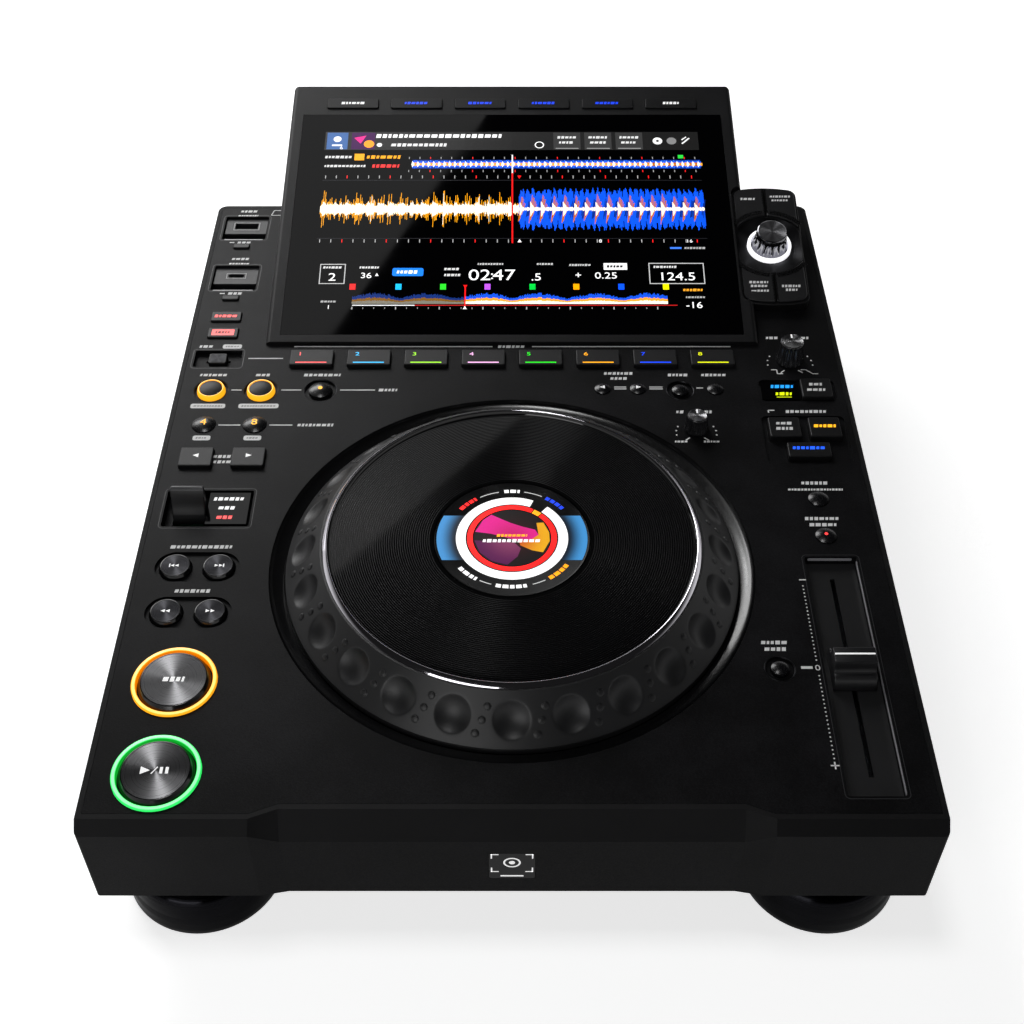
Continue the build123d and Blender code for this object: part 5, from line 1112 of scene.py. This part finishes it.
def tapering(name, near, far, inner, outer):
    """A lit colour that runs from one to another between two radii from the piece's middle."""
    material, tree, shader = surface(name, near, 0.3)
    place = add(tree, "ShaderNodeTexCoord").outputs["Object"]
    out = add(tree, "ShaderNodeVectorMath", {0: place}, operation="LENGTH")
    reach = {0: out.outputs["Value"], 1: inner * MM, 2: outer * MM}
    share = add(tree, "ShaderNodeMapRange", reach, interpolation_type="SMOOTHSTEP")
    run = add(tree, "ShaderNodeMix", {0: share.outputs[0], 6: linear(near), 7: linear(far)}, data_type="RGBA")
    grain = add(tree, "ShaderNodeTexNoise", {"Vector": place, "Scale": 1500.0})
    pixel = add(tree, "ShaderNodeMapRange", {0: grain.outputs[0], 1: 0.3, 2: 0.7, 3: 0.95, 4: 1.0})
    parts = {0: 1.0, 6: run.outputs[2], 7: pixel.outputs[0]}
    lit = add(tree, "ShaderNodeMix", parts, data_type="RGBA", blend_type="MULTIPLY")
    tree.links.new(lit.outputs[2], shader.inputs["Emission Color"])
    shader.inputs["Base Color"].default_value = (0, 0, 0, 1)
    shader.inputs["Emission Strength"].default_value = 1.0
    return material


def on_head(name, shapes, material, rise=ink_rise):
    """Marks on the round display, which stands still while the wheel turns."""
    ink(name, shapes, material, "root", head_place, rise=rise)


# The round display is lit from behind like the large one: clear even colours.
status_white = glow("status_white", "#e2e2e2", 1.0)
status_red = glow("status_red", "#fb0a08", 1.0)
status_amber = glow("status_amber", "#ffa200", 1.0)
status_blue = glow("status_blue", "#0a3cdc", 1.0)
status_grey = glow("status_grey", "#b4b4b4", 1.0)
side_blue = tapering("status_side_blue", "#0a1a2a", "#4498da", 24.5, 31.5)
# blue fields at both sides of the ring
field_half = 13
wide = []
for side in (1, -1):
    field = []
    for radius, steps in ((23.0, range(-8, 9)), (32.4, range(8, -9, -1))):
        angles = [asin(field_half / radius) * t / 8 for t in steps]
        field += [(side * radius * cos(a), radius * sin(a)) for a in angles]
    wide.append(field)
on_head("jog_side_fields", wide, side_blue)
on_head("jog_progress_white", arc(0, 0, 24.1, 19.9, 67, 67 + 343, 60, 24), status_white, 0.05)
on_head("jog_ring_red", arc(0, 0, 19.3, 16.9, 61, 61 + 346, 60, 24), status_red, 0.05)
on_head("jog_ring_marker", [sector(16.9, 19.3, 48.5, 59.5, 6)], status_amber, 0.05)
# the round picture in the middle: plain soft shapes in pink, amber and violet
cover_dark = tapering("cover_dark", "#2a0206", "#0a0103", 4.0, 16.0)
cover_pink = tapering("cover_pink", "#d0186e", "#f01e96", 0.0, 14.0)
cover_amber = tapering("cover_amber", "#d85a14", "#f7b214", 3.0, 15.5)
cover_violet = tapering("cover_violet", "#8a3c64", "#5a0a4e", 2.0, 15.5)
on_head("cover_ground", [disc(0, 0, 16.4, 64)], cover_dark, 0.05)


def kept_inside(shape):
    """Pull the points of a soft shape back to the edge of the round picture."""
    limit = 16.3
    kept = []
    for x, y in shape:
        out = hypot(x, y)
        kept.append((x * limit / out, y * limit / out) if out > limit else (x, y))
    return kept


for name, material, shape in (
    ("pink", cover_pink, [
        (-15.9, 3.4), (-12.5, 10.4), (-9.0, 13.6), (-5.0, 11.2), (-0.5, 8.6), (4.5, 6.4), (10.0, 4.6),
        (11.4, 1.6), (8.2, -1.2), (3.0, -2.2), (-3.0, 0.2), (-9.0, 2.2),
    ]),
    ("amber", cover_amber, [
        (10.6, 8.6), (13.6, 8.9), (16.0, 3.0), (16.2, -2.0), (13.2, -8.6), (8.4, -7.4), (3.6, -4.6),
        (3.0, -2.2), (8.2, -1.2), (11.4, 1.6),
    ]),
    ("violet", cover_violet, [
        (-16.2, -1.6), (-10.4, -2.2), (-4.6, -1.8), (1.0, -3.0), (3.8, -6.4), (2.4, -11.0),
        (-2.0, -15.8), (-8.6, -13.6), (-13.6, -8.8),
    ]),
):
    on_head("cover_%s_shape" % name, [kept_inside(shape)], material, 0.06)
on_head("cover_lines_white", dashes(0, -1.9, 25.0, 2.2), status_white, 0.08)
on_head("cover_lines_amber", dashes(0, 1.2, 13.0, 1.7), status_amber, 0.08)
word_radius = 28.0
word_half = 0.95


def curved_dashes(start, end):
    """Plain blocks on an arc, where a word would stand."""
    made = []
    at = start
    step = 1 if end > start else -1
    while (end - at) * step > 2.0:
        wide_angle = random.uniform(3.0, 6.0)
        stop = at + step * min(wide_angle, (end - at) * step)
        made.append(sector(word_radius - word_half, word_radius + word_half, at, stop, 4))
        at = stop + step * 1.3
    return made


on_head("jog_word_red", curved_dashes(143, 124), status_red)
on_head("jog_word_blue", curved_dashes(58, 38), status_blue)
on_head("jog_word_amber", curved_dashes(-56, -34), status_amber)
white_words = curved_dashes(97, 83) + curved_dashes(218, 238) + curved_dashes(256, 284)
on_head("jog_words_white", white_words, status_white)
thin = [sector(27.8, 28.2, *span, 10) for span in ((102, 120), (62, 79), (241, 252), (288, 300))]
on_head("jog_word_lines", thin, status_grey)

# ------------------------------------------------------------------ side sockets and keys
# Two memory ports stand in wells: a dark grey block each, with a port in a pale printed outline.
# Below them are small satin keys; two of those are lit through their caps.
# The blocks are moulded in dark grey plastic with a satin skin, a shade paler than the case.
block_grey = grained("socket_block_plastic", "#1c1c1e", "#242427", 0.46, 0.6, 0.015, Specular_IOR_Level=0.4)
dress(block_grey, "connectors")
dress(key_satin, "side_keys", "jump_back_button", "jump_forward_button", "jog_mode_button", "sync_button",
      "master_button", "key_button")
port_place = deck_place @ Matrix.Translation((0, 0, -1.4 * MM))
port_lines = outline(left_column, 382.35, 14.4, 7.0, 0.5) + outline(left_column, 337.15, 10.6, 4.6, 0.45)
ink("port_outlines", port_lines, grey_ink, "root", port_place)
# a thin line paler than the deck runs round the wells as a painted highlight on their rims,
# and a pale bar on the front edge of the two port wells is a painted highlight
rim_line_highlight = grained("well_rim_painted_highlight", "#262628", "#2e2e30", 0.4, 0.5, 0.01)
port_front_highlight = grained("port_front_painted_highlight", "#b6b6b8", "#c4c4c6", 0.35, 0.5, 0.01)
port_rows = (378.9, 333.7)
toggle_row = 267.1
lever_row = 162.7
fader_row = 71.5
edge_line = 0.26
edge_corner = 2.0


def drawn_round(shape, line):
    """A closed outline drawn as a line, one stroke from each point to the next."""
    pairs = zip(shape, shape[1:] + shape[:1])
    return [stroke(*a, *b, line) for a, b in pairs if hypot(b[0] - a[0], b[1] - a[1]) > 0.01]


for name, x, back, width, length in (
    ("port_a", left_column, port_rows[0], 26.0, 23.4), ("port_c", left_column, port_rows[1], 26.0, 23.4),
    ("toggle", left_column, toggle_row, 25.7, 14.7), ("lever", -137.3, lever_row, 41.5, 24.8),
    ("fader", right_column, fader_row, 25.0, 125.2),
):
    rim_highlight_line = drawn_round(pill(x, back, width, length, edge_corner), edge_line)
    ink(name + "_well_rim_highlight", rim_highlight_line, rim_line_highlight, "root", deck_place, rise=0.03)
# painted highlight: a pale bar along the front edge of each port well
port_fronts = [bar(left_column, back - 10.85, 21.0, 0.55) for back in port_rows]
ink("port_well_front_highlights", port_fronts, port_front_highlight, "root", deck_place, rise=0.05)
side_top = deck_place @ Matrix.Translation((0, 0, 1.0 * MM))
# This key's whole cap is translucent, so its face glows a paler red than the lamps.
lamp_face_red = glow("lamp_face_red", "#ff5a5a", 0.95)
ink("quantize_word", dashes(left_column, 300.0, 11.8, 2.4), lamp_red, "side_keys", side_top)
ink("slip_face", [pill(left_column, 286.8, 11.4, 4.6, 0.5)], lamp_face_red, "side_keys", side_top)
slip_words = dashes(left_column, 286.8, 7.6, 1.7)
ink("slip_word", slip_words, block_grey, "side_keys", side_top, rise=ink_rise + 0.03)

# ------------------------------------------------------------------ call toggle
# The toggle is a square key that slides left and right in its well, with a spun disc of metal let in.
dress(key_satin, "call_toggle")
# Spun aluminium, anodised black, in a small inlaid sheet: painted highlight wedges in its colour
# give a dull shine that changes across it.
toggle_spun = ringed("toggle_spun", "#29292b", 0.3, 0.3, 0.0003, 0.6)
toggle_top = on_deck(left_column, toggle_row, 0.45)
ink("toggle_inlay", [pill(0, 0, 7.4, 5.8, 0.9)], toggle_spun, "call_toggle", toggle_top, rise=0.06)

# ------------------------------------------------------------------ square keys and pads
# The jump keys, the mode and sync keys and the eight pads are satin black caps on rubber domes.
# Each pad carries a plain figure and a line in its own colour, lit from below.
key_face = deck_place @ Matrix.Translation((0, 0, 2.0 * MM))
jump_row = 195.2
key_word = 2.3
ink("jump_back_mark", [arrow(left_column, jump_row, 3.2, 180)], caption_white, "jump_back_button", key_face)
ink("jump_forward_mark", [arrow(inner_column, jump_row, 3.2)], caption_white, "jump_forward_button", key_face)
mode_words = dashes(148.7, 245.4, 6.6, key_word) + dashes(148.7, 241.4, 9.6, key_word)
ink("jog_mode_word", mode_words, white_ink, "jog_mode_button", key_face)
sync_words = dashes(129.6, 217.2, 7.6, key_word) + dashes(129.6, 213.6, 8.4, key_word)
ink("sync_word", sync_words, white_ink, "sync_button", key_face)
ink("master_word", dashes(148.7, 215.4, 10.4, key_word), lamp_amber, "master_button", key_face)
# The blue lamp is the same small window with a blue light under it.
lamp_blue = glow("lamp_blue", "#1e5af0", 1.0)
ink("key_word", dashes(right_column, 200.2, 15.4, 2.4), lamp_blue, "key_button", key_face)
# The pads are silicone rubber with a satin coat: soft sheen, no sharp highlight.
pad_face = grained("pad_rubber_satin", "#141415", "#1c1c1e", 0.44, 0.5, 0.015, Specular_IOR_Level=0.24)
pad_pitch = 28.5714
pad_colours = ("#ff4545", "#14b4ee", "#96e600", "#f4b4e6", "#00e000", "#ffaa00", "#0a46ff", "#d8e000")
for number, colour in enumerate(pad_colours, start=1):
    pad = "hot_pad_%d" % number
    dress(pad_face, pad)
    x = (number - 4.5) * pad_pitch
    lit = glow("pad_light_%d" % number, colour, 1.0)
    ink(pad + "_line", [bar(x, 262.0, 15.4, 0.75)], lit, pad, key_face)
    numerals(pad + "_figure", [(str(number), x - 5.9, 268.6, 2.6)], lit, pad, key_face, widen=1.3)

# ------------------------------------------------------------------ direction lever
# A tall paddle that rocks to and fro in its well, moulded in satin ABS with a hollow front for the finger.
# Its top edge is rounded off.
# Satin ABS gives the lever wide soft highlights; its rounded top carries a paler band, a painted highlight.
lever_satin = grained("lever_abs_satin", "#101012", "#161618", 0.42, 0.5, 0.012, Specular_IOR_Level=0.45)
lever_edge = grained("lever_edge_painted_highlight", "#3a3a3c", "#434346", 0.4, 0.5, 0.012, Specular_IOR_Level=0.5)
lever_outline = [
    (-4.5, -6.0), (4.5, -6.0), (4.3, 2.0), (4.0, 9.9), (3.7, 10.6), (3.1, 11.0), (2.5, 10.95), (1.7, 10.55),
    (1.3, 10.0), (0.6, 8.2), (-0.1, 6.2), (-0.6, 4.2), (-1.1, 2.6), (-1.9, 0.8), (-2.9, -0.9), (-3.2, -1.6),
]
lever_ends = ((-7.5, 0.5), (-7.2, 0.12), (-6.8, 0.0), (6.8, 0.0), (7.2, 0.12), (7.5, 0.5))


def carried_across(shape, ends, sinking):
    """The points and faces of a side outline of (y, z) in mm, carried from one end to the other.
    Each end is a place and how far the outline draws in there, and sinking is the part of that
    by which a height goes down."""
    points = []
    for x, inset in ends:
        for y, z in shape:
            points.append((x * MM, (y + (inset if y < 0 else -inset)) * MM, (z - inset * sinking(z)) * MM))
    faces = woven(len(ends), len(shape))
    faces.append(tuple(range(len(shape))))
    faces.append(tuple(range(len(points) - len(shape), len(points))))
    return points, faces


lever = solid(
    "direction_lever_paddle",
    *carried_across(lever_outline, lever_ends, lambda z: min(1.0, max(0.0, (z + 6) / 17))),
    lever_satin,
    "direction_lever",
    on_deck(-145.6, lever_row),
    crease=40,
    bands=[(lever_edge, lambda p: p.z > 9.9)],
)
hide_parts("direction_lever")

# ------------------------------------------------------------------ gloss windows
# Three small windows of gloss black acrylic let signs shine through: beside the lever, beside the mode
# key and in the front face. Each is pressed into a seat and held by tape.
# Acrylic is as black and glossy as glass, with faint smears.
window_gloss = smeared("window_acrylic_gloss", "#030304", 0.05, 40.0, 3.0, (0.3, 0.7), (0.03, 0.09), 0.5)
dress(window_gloss, "gloss_windows")
lever_sign = 2.4
lever_signs = dashes(-128.6, 168.6, 13.4, lever_sign) + dashes(-128.6, 162.9, 7.8, lever_sign)
ink("lever_signs_white", lever_signs, caption_white, "root", deck_place)
ink("lever_sign_red", dashes(-129.0, 157.0, 7.2, lever_sign), lamp_red, "root", deck_place)
# The signs behind the windows are coloured lights, even and flat.
lamp_sky = glow("lamp_sky", "#1e96f0", 1.0)
lamp_lime = glow("lamp_lime", "#d2e600", 1.0)
mode_sign = 2.6
ink("mode_sign_blue", dashes(132.4, 246.0, 10.8, mode_sign), lamp_sky, "root", deck_place)
lime_signs = dashes(132.6, 240.6, 7.8, mode_sign) + [bar(132.6, 238.2, 7.4, 0.4)]
ink("mode_sign_lime", lime_signs, lamp_lime, "root", deck_place)
badge_place = Matrix.Translation((0, front_edge - 2.8 * MM, deck_top)) @ Matrix.Rotation(radians(90), 4, "X")
badge = []
badge_row = -26.8
for sx in (-1, 1):
    for sy in (-1, 1):
        badge.append(bar(sx * 6.7, badge_row + sy * 6.2, 3.0, 0.55))
        badge.append(bar(sx * 7.95, badge_row + sy * 4.9, 0.55, 3.1))
badge += arc(0, -26.4, 3.4, 2.7) + [disc(0, -26.4, 1.2)] + [bar(0, -36.2, 9.0, 0.9)]
ink("badge_signs", badge, caption_white, "root", badge_place)

# ------------------------------------------------------------------ knobs
# Two small ribbed knobs are pushed onto their potentiometers' shafts: moulded black with fine ribs,
# a spun disc on top and a white line that shows where they point.
# Gloss ABS puts a thin highlight on each rib, and the spun disc shines in wedges.
rib_gloss = grained("knob_ribs_gloss", "#1c1c1e", "#242426", 0.22, 0.8, 0.004, 0.03, Specular_IOR_Level=0.6)
knob_disc = ringed("knob_disc_spun", "#b0b0b2", 0.28, 0.3, 0.0012)
skirt = 0.4
for node, place, base, top, height in (
    ("brake_speed_knob", brake_knob, 7.1, 5.6, 12.0), ("jog_weight_knob", weight_knob, 6.0, 4.6, 8.5),
):
    crown = skirt + height
    levels = [(0.0, -8.2, 0), (3.0, -8.2, 0), (3.0, skirt, 0), (base - 0.3, skirt, 0.3), (base, 0.7, 0.5)]
    for share in (0.15, 0.3, 0.45, 0.6, 0.72, 0.82, 0.9):
        levels.append((base + (top - base) * share, skirt + height * share, 0.2 if share == 0.9 else 0.55))
    levels += [
        (top + 0.1, crown - 0.6, 0.0), (top - 0.05, crown - 0.3, 0.0), (top - 0.4, crown, 0.0),
        (top - 0.55, crown - 0.06, 0.0), (0.0, crown - 0.06, 0),
    ]
    disc_face = [(knob_disc, lambda p: p.z > crown - 0.1 and hypot(p.x, p.y) < top - 0.45)]
    fluted(node + "_ribbed", levels, 18, node, on_deck(*place), rib_gloss, disc_face)
    pointer = bar(0, top - 1.9, 0.8, 2.7)
    ink(node + "_pointer", [pointer], caption_white, node, on_deck(*place, crown - 0.06))

# ------------------------------------------------------------------ tempo fader
# The fader's cap is one satin moulding that runs over a long shallow recess; its stem goes down
# through a slot to the carbon track. Its top is flat, with a white line across it.
# The recess is the panel's own plastic, unpainted, with a satin skin; bright strips on its upper edges
# are painted highlight.
recess_satin = grained("recess_satin", "#161617", "#1c1c1e", 0.4, 0.5, 0.02, Specular_IOR_Level=0.45)
recess_edge = grained("recess_edge_painted_highlight", "#9c9ca0", "#a8a8ac", 0.3, 0.8, 0.004, 0.05)
recess_floor = deck_place @ Matrix.Translation((0, 0, -4.0 * MM))
# the floor is in four strips round the slot, and the tops of two walls carry bright painted highlight strips
floor_strips = [bar(right_column + side * 6.08, fader_row, 10.0, 121.6) for side in (-1, 1)]
floor_strips += [bar(right_column, 15.9, 2.2, 10.4), bar(right_column, 127.9, 2.2, 8.8)]
ink("fader_recess_floor", floor_strips, recess_satin, "root", recess_floor, rise=0.08)
side_wall = on_deck(right_column + 11.35, 0) @ Matrix.Rotation(radians(-90), 4, "Y")
end_wall = on_deck(right_column, 132.95) @ Matrix.Rotation(radians(90), 4, "X")
for name, strip, place in (
    ("fader_recess_side", pill(-1.5, fader_row, 1.5, 120.0, 0.7), side_wall),
    ("fader_recess_end", pill(0, -1.7, 19.4, 1.5, 0.7), end_wall),
):
    ink(name, [strip], recess_edge, "root", place, rise=0.1, sunk=0.02)
# Satin ABS, smoothed by hand: a soft highlight lies along each curve of the cap.
cap_satin = grained("fader_cap_satin", "#151517", "#1c1c1e", 0.36, 0.5, 0.012, Specular_IOR_Level=0.5)
half_cap = [
    (3.6, 8.0), (4.0, 7.75), (4.2, 7.2), (4.35, 5.4), (4.6, 4.1), (5.1, 3.2), (5.8, 2.9), (6.6, 3.05),
    (7.2, 2.95), (7.9, 2.4), (8.6, 1.3), (9.2, 0.0), (9.6, -1.6), (9.6, -3.6),
]
cap_outline = half_cap + [(-y, z) for y, z in reversed(half_cap)]
cap_ends = ((-8.7, 0.4), (-8.55, 0.1), (-8.3, 0.0), (8.3, 0.0), (8.55, 0.1), (8.7, 0.4))
points, faces = carried_across(cap_outline, cap_ends, lambda z: 0 if z < -3 else 1)
# the flat stem under the cap
start = len(points)
for z in (-10.0, -3.4):
    points += [(sx * 0.6 * MM, sy * 2.5 * MM, z * MM) for sx, sy in ((-1, -1), (1, -1), (1, 1), (-1, 1))]
faces += [(start, start + 1, start + 2, start + 3), (start + 4, start + 5, start + 6, start + 7)]
faces += [(start + i, start + (i + 1) % 4, start + 4 + (i + 1) % 4, start + 4 + i) for i in range(4)]
cap_row = 72.2
cap_place = on_deck(right_column, cap_row)
fader_cap = solid(
    "tempo_fader_cap_moulded", points, faces, cap_satin, "tempo_fader_cap", cap_place, crease=24
)
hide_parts("tempo_fader_cap")
cap_top = on_deck(right_column, cap_row, 8.0)
ink("fader_cap_line", [bar(0, 0.5, 16.4, 0.8)], caption_white, "tempo_fader_cap", cap_top)

# ------------------------------------------------------------------ rear panel
# Along the rear stand four phono sockets with plated sleeves, a network and a computer socket, the mains
# inlet and the round power key. Their bodies are moulded in black and come through holes in the wall.
rear_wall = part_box("body_shell")[1].y
rear_middle = Matrix.Translation((0, rear_wall, 52.0 * MM))
rear_place = rear_middle @ Matrix.Rotation(radians(-90), 4, "X")
# Nickel plate over turned brass is a warm bright metal. The rings that tell the sockets apart are plain
# moulded plastic in four colours, dull beside it.
plated = ringed("socket_sleeve_plated", "#c9c3b0", 0.2, 0.4, 0.004)
plated_dark = grained("socket_ring_black", "#101012", "#17171a", 0.4, 0.5, 0.01)
socket_red = grained("socket_ring_red", "#b01418", "#c01c20", 0.4, 0.5, 0.01)
socket_white = grained("socket_ring_white", "#d8d8d6", "#e2e2e0", 0.4, 0.5, 0.01)
socket_orange = grained("socket_ring_orange", "#d86a10", "#e07818", 0.4, 0.5, 0.01)
sleeve_section = [
    (1.75, 8.9), (4.16, 8.9), (4.16, 0.05), (4.32, 0.05), (4.32, 8.9), (4.2, 9.15), (4.0, 9.2),
    (3.4, 9.2), (3.3, 9.05), (1.75, 9.05),
]
flange_section = [(4.35, 0.0), (6.2, 0.0), (6.2, 0.3), (5.9, 0.5), (4.6, 0.5), (4.35, 0.3)]
phono_pitch = 18
for number, lining in enumerate((socket_white, socket_red, socket_orange, plated_dark), start=1):
    place = rear_place @ Matrix.Translation(((-22 - phono_pitch * number) * MM, 0, 0))
    face = [(lining, lambda p: p.z > 8.95 and hypot(p.x, p.y) < 3.32)]
    sleeve = turned("phono_sleeve_%d" % number, sleeve_section, plated, "root", place, 64, face)
    flange = turned("phono_flange_%d" % number, flange_section, lining, "root", place, 64)
dress(key_gloss, "power_button")
rear_marks = []
for x, width in ((-49, 22), (-85, 22), (36, 10), (62, 12), (118, 16), (148, 10)):
    rear_marks += dashes(-x, 16.5, width, 2.2)
rear_words = rear_middle @ Matrix.Rotation(radians(180), 4, "Z") @ Matrix.Rotation(radians(90), 4, "X")
ink("rear_marks", rear_marks, white_ink, "root", rear_words)
power_sign = arc(-148, 0, 2.4, 1.8, 120, 420) + [bar(-148, 1.8, 0.6, 2.6)]
ink("power_sign", power_sign, white_ink, "power_button", rear_words @ Matrix.Translation((0, 0, 3.0 * MM)))

# ------------------------------------------------------------------ studio
# The player stands on a pale floor under plain soft light: one large bank behind and to the left, a softer
# one overhead, and a little light from the front left. A dim card hangs on the left, and a narrow lamp
# shines only on the jog well's glossy wall.
floor_white = "#f4f4f4"
floor_size = 6.0
studio_dark = 0.012
studio_pale = 0.8

floor_mesh = bpy.data.meshes.new("floor")
half = floor_size / 2
floor_corners = [(-half, -half, 0), (half, -half, 0), (half, half, 0), (-half, half, 0)]
floor_mesh.from_pydata(floor_corners, [], [(0, 1, 2, 3)])
floor = bpy.data.objects.new("floor", floor_mesh)
bpy.context.scene.collection.objects.link(floor)
# Matt white paint takes the shadow and mirrors nothing.
floor_paint, floor_tree, floor_shader = surface("floor_paint", floor_white, 0.8, Specular_IOR_Level=0.1)
seen = add(floor_tree, "ShaderNodeLightPath")
glossy = {0: seen.outputs["Is Glossy Ray"], 1: 0.06}
mirrored = add(floor_tree, "ShaderNodeMath", glossy, operation="MULTIPLY")
looked_at = {0: seen.outputs["Is Camera Ray"], 1: seen.outputs["Is Transmission Ray"]}
direct = add(floor_tree, "ShaderNodeMath", looked_at, operation="MAXIMUM")
lift_parts = {0: direct.outputs[0], 1: 0.68, 2: mirrored.outputs[0]}
lift = add(floor_tree, "ShaderNodeMath", lift_parts, operation="MULTIPLY_ADD")
floor_shader.inputs["Emission Color"].default_value = linear("#ffffff")
floor_tree.links.new(lift.outputs[0], floor_shader.inputs["Emission Strength"])
floor_mesh.materials.append(floor_paint)


def lamp(name, place, target, width, height, power):
    """One soft bank of light that faces a point."""
    made = bpy.data.objects.new(name, bpy.data.lights.new(name, "AREA"))
    made.data.shape = "RECTANGLE"
    made.data.size = width
    made.data.size_y = height
    made.data.energy = power
    made.location = place
    aim = Vector(target) - Vector(place)
    made.rotation_euler = aim.to_track_quat("-Z", "Y").to_euler()
    bpy.context.scene.collection.objects.link(made)
    return made


lamp("back_bank", (-0.75, 1.35, 1.0), (-0.1, 0.1, 0.08), 1.1, 0.7, 15.0)
lamp("overhead_bank", (-0.18, -0.12, 1.7), (-0.1, -0.1, 0.08), 0.3, 0.3, 4.5)
well_lamp = lamp("well_lamp", (-0.46, 0.96, 1.15), (0.102, -0.115, 0.077), 0.35, 0.35, 0.018)
well_lamp.data.spread = radians(9)
lamp("front_bank", (-0.62, -1.4, 0.8), (-0.1, -0.1, 0.06), 0.9, 0.5, 4.6)

# a wide dim card on the left, whose straight edge runs as a line through the glossy faces
card_edge = (Vector((-0.237, 0.12, 0.5)), Vector((0.113, 1.1, 1.0)))
card_depth = 0.8
card = bpy.data.objects.new("left_card", bpy.data.lights.new("left_card", "AREA"))
along = (card_edge[1] - card_edge[0]).normalized()
middle = (card_edge[0] + card_edge[1]) / 2
facing = Vector((-0.05, 0.0, 0.09)) - middle
facing = (facing - along * facing.dot(along)).normalized()
outward = along.cross(facing)
if outward.x > 0:
    outward = -outward
card.data.shape = "RECTANGLE"
card.data.size = card_depth
card.data.size_y = 1.3
card.data.energy = 2.2
up = (-facing).cross(outward)
turn = Matrix((outward, up, -facing)).transposed().to_4x4()
card.matrix_world = Matrix.Translation(middle + outward * card_depth / 2) @ turn
bpy.context.scene.collection.objects.link(card)

world = bpy.data.worlds.new("studio")
world.use_nodes = True
bpy.context.scene.world = world
world_tree = world.node_tree
sky = world_tree.nodes["Background"]
direction = add(world_tree, "ShaderNodeTexCoord").outputs["Generated"]
height = add(world_tree, "ShaderNodeSeparateXYZ", {0: direction})
# the room is pale low down and dark above, but plain white where the camera looks past the player
upward = {0: height.outputs["Z"], 1: 0.05, 2: 0.4, 3: studio_pale, 4: studio_dark}
fade = add(world_tree, "ShaderNodeMapRange", upward, interpolation_type="SMOOTHSTEP")
path = add(world_tree, "ShaderNodeLightPath")
looked_at = {0: path.outputs["Is Camera Ray"], 1: path.outputs["Is Transmission Ray"]}
clear = add(world_tree, "ShaderNodeMath", looked_at, operation="MAXIMUM")
level = add(world_tree, "ShaderNodeMix", {0: clear.outputs[0], 2: fade.outputs[0], 3: 1.0}, data_type="FLOAT")
world_tree.links.new(level.outputs[0], sky.inputs["Strength"])
sky.inputs["Color"].default_value = (1, 1, 1, 1)

bpy.context.scene.view_settings.view_transform = "Standard"
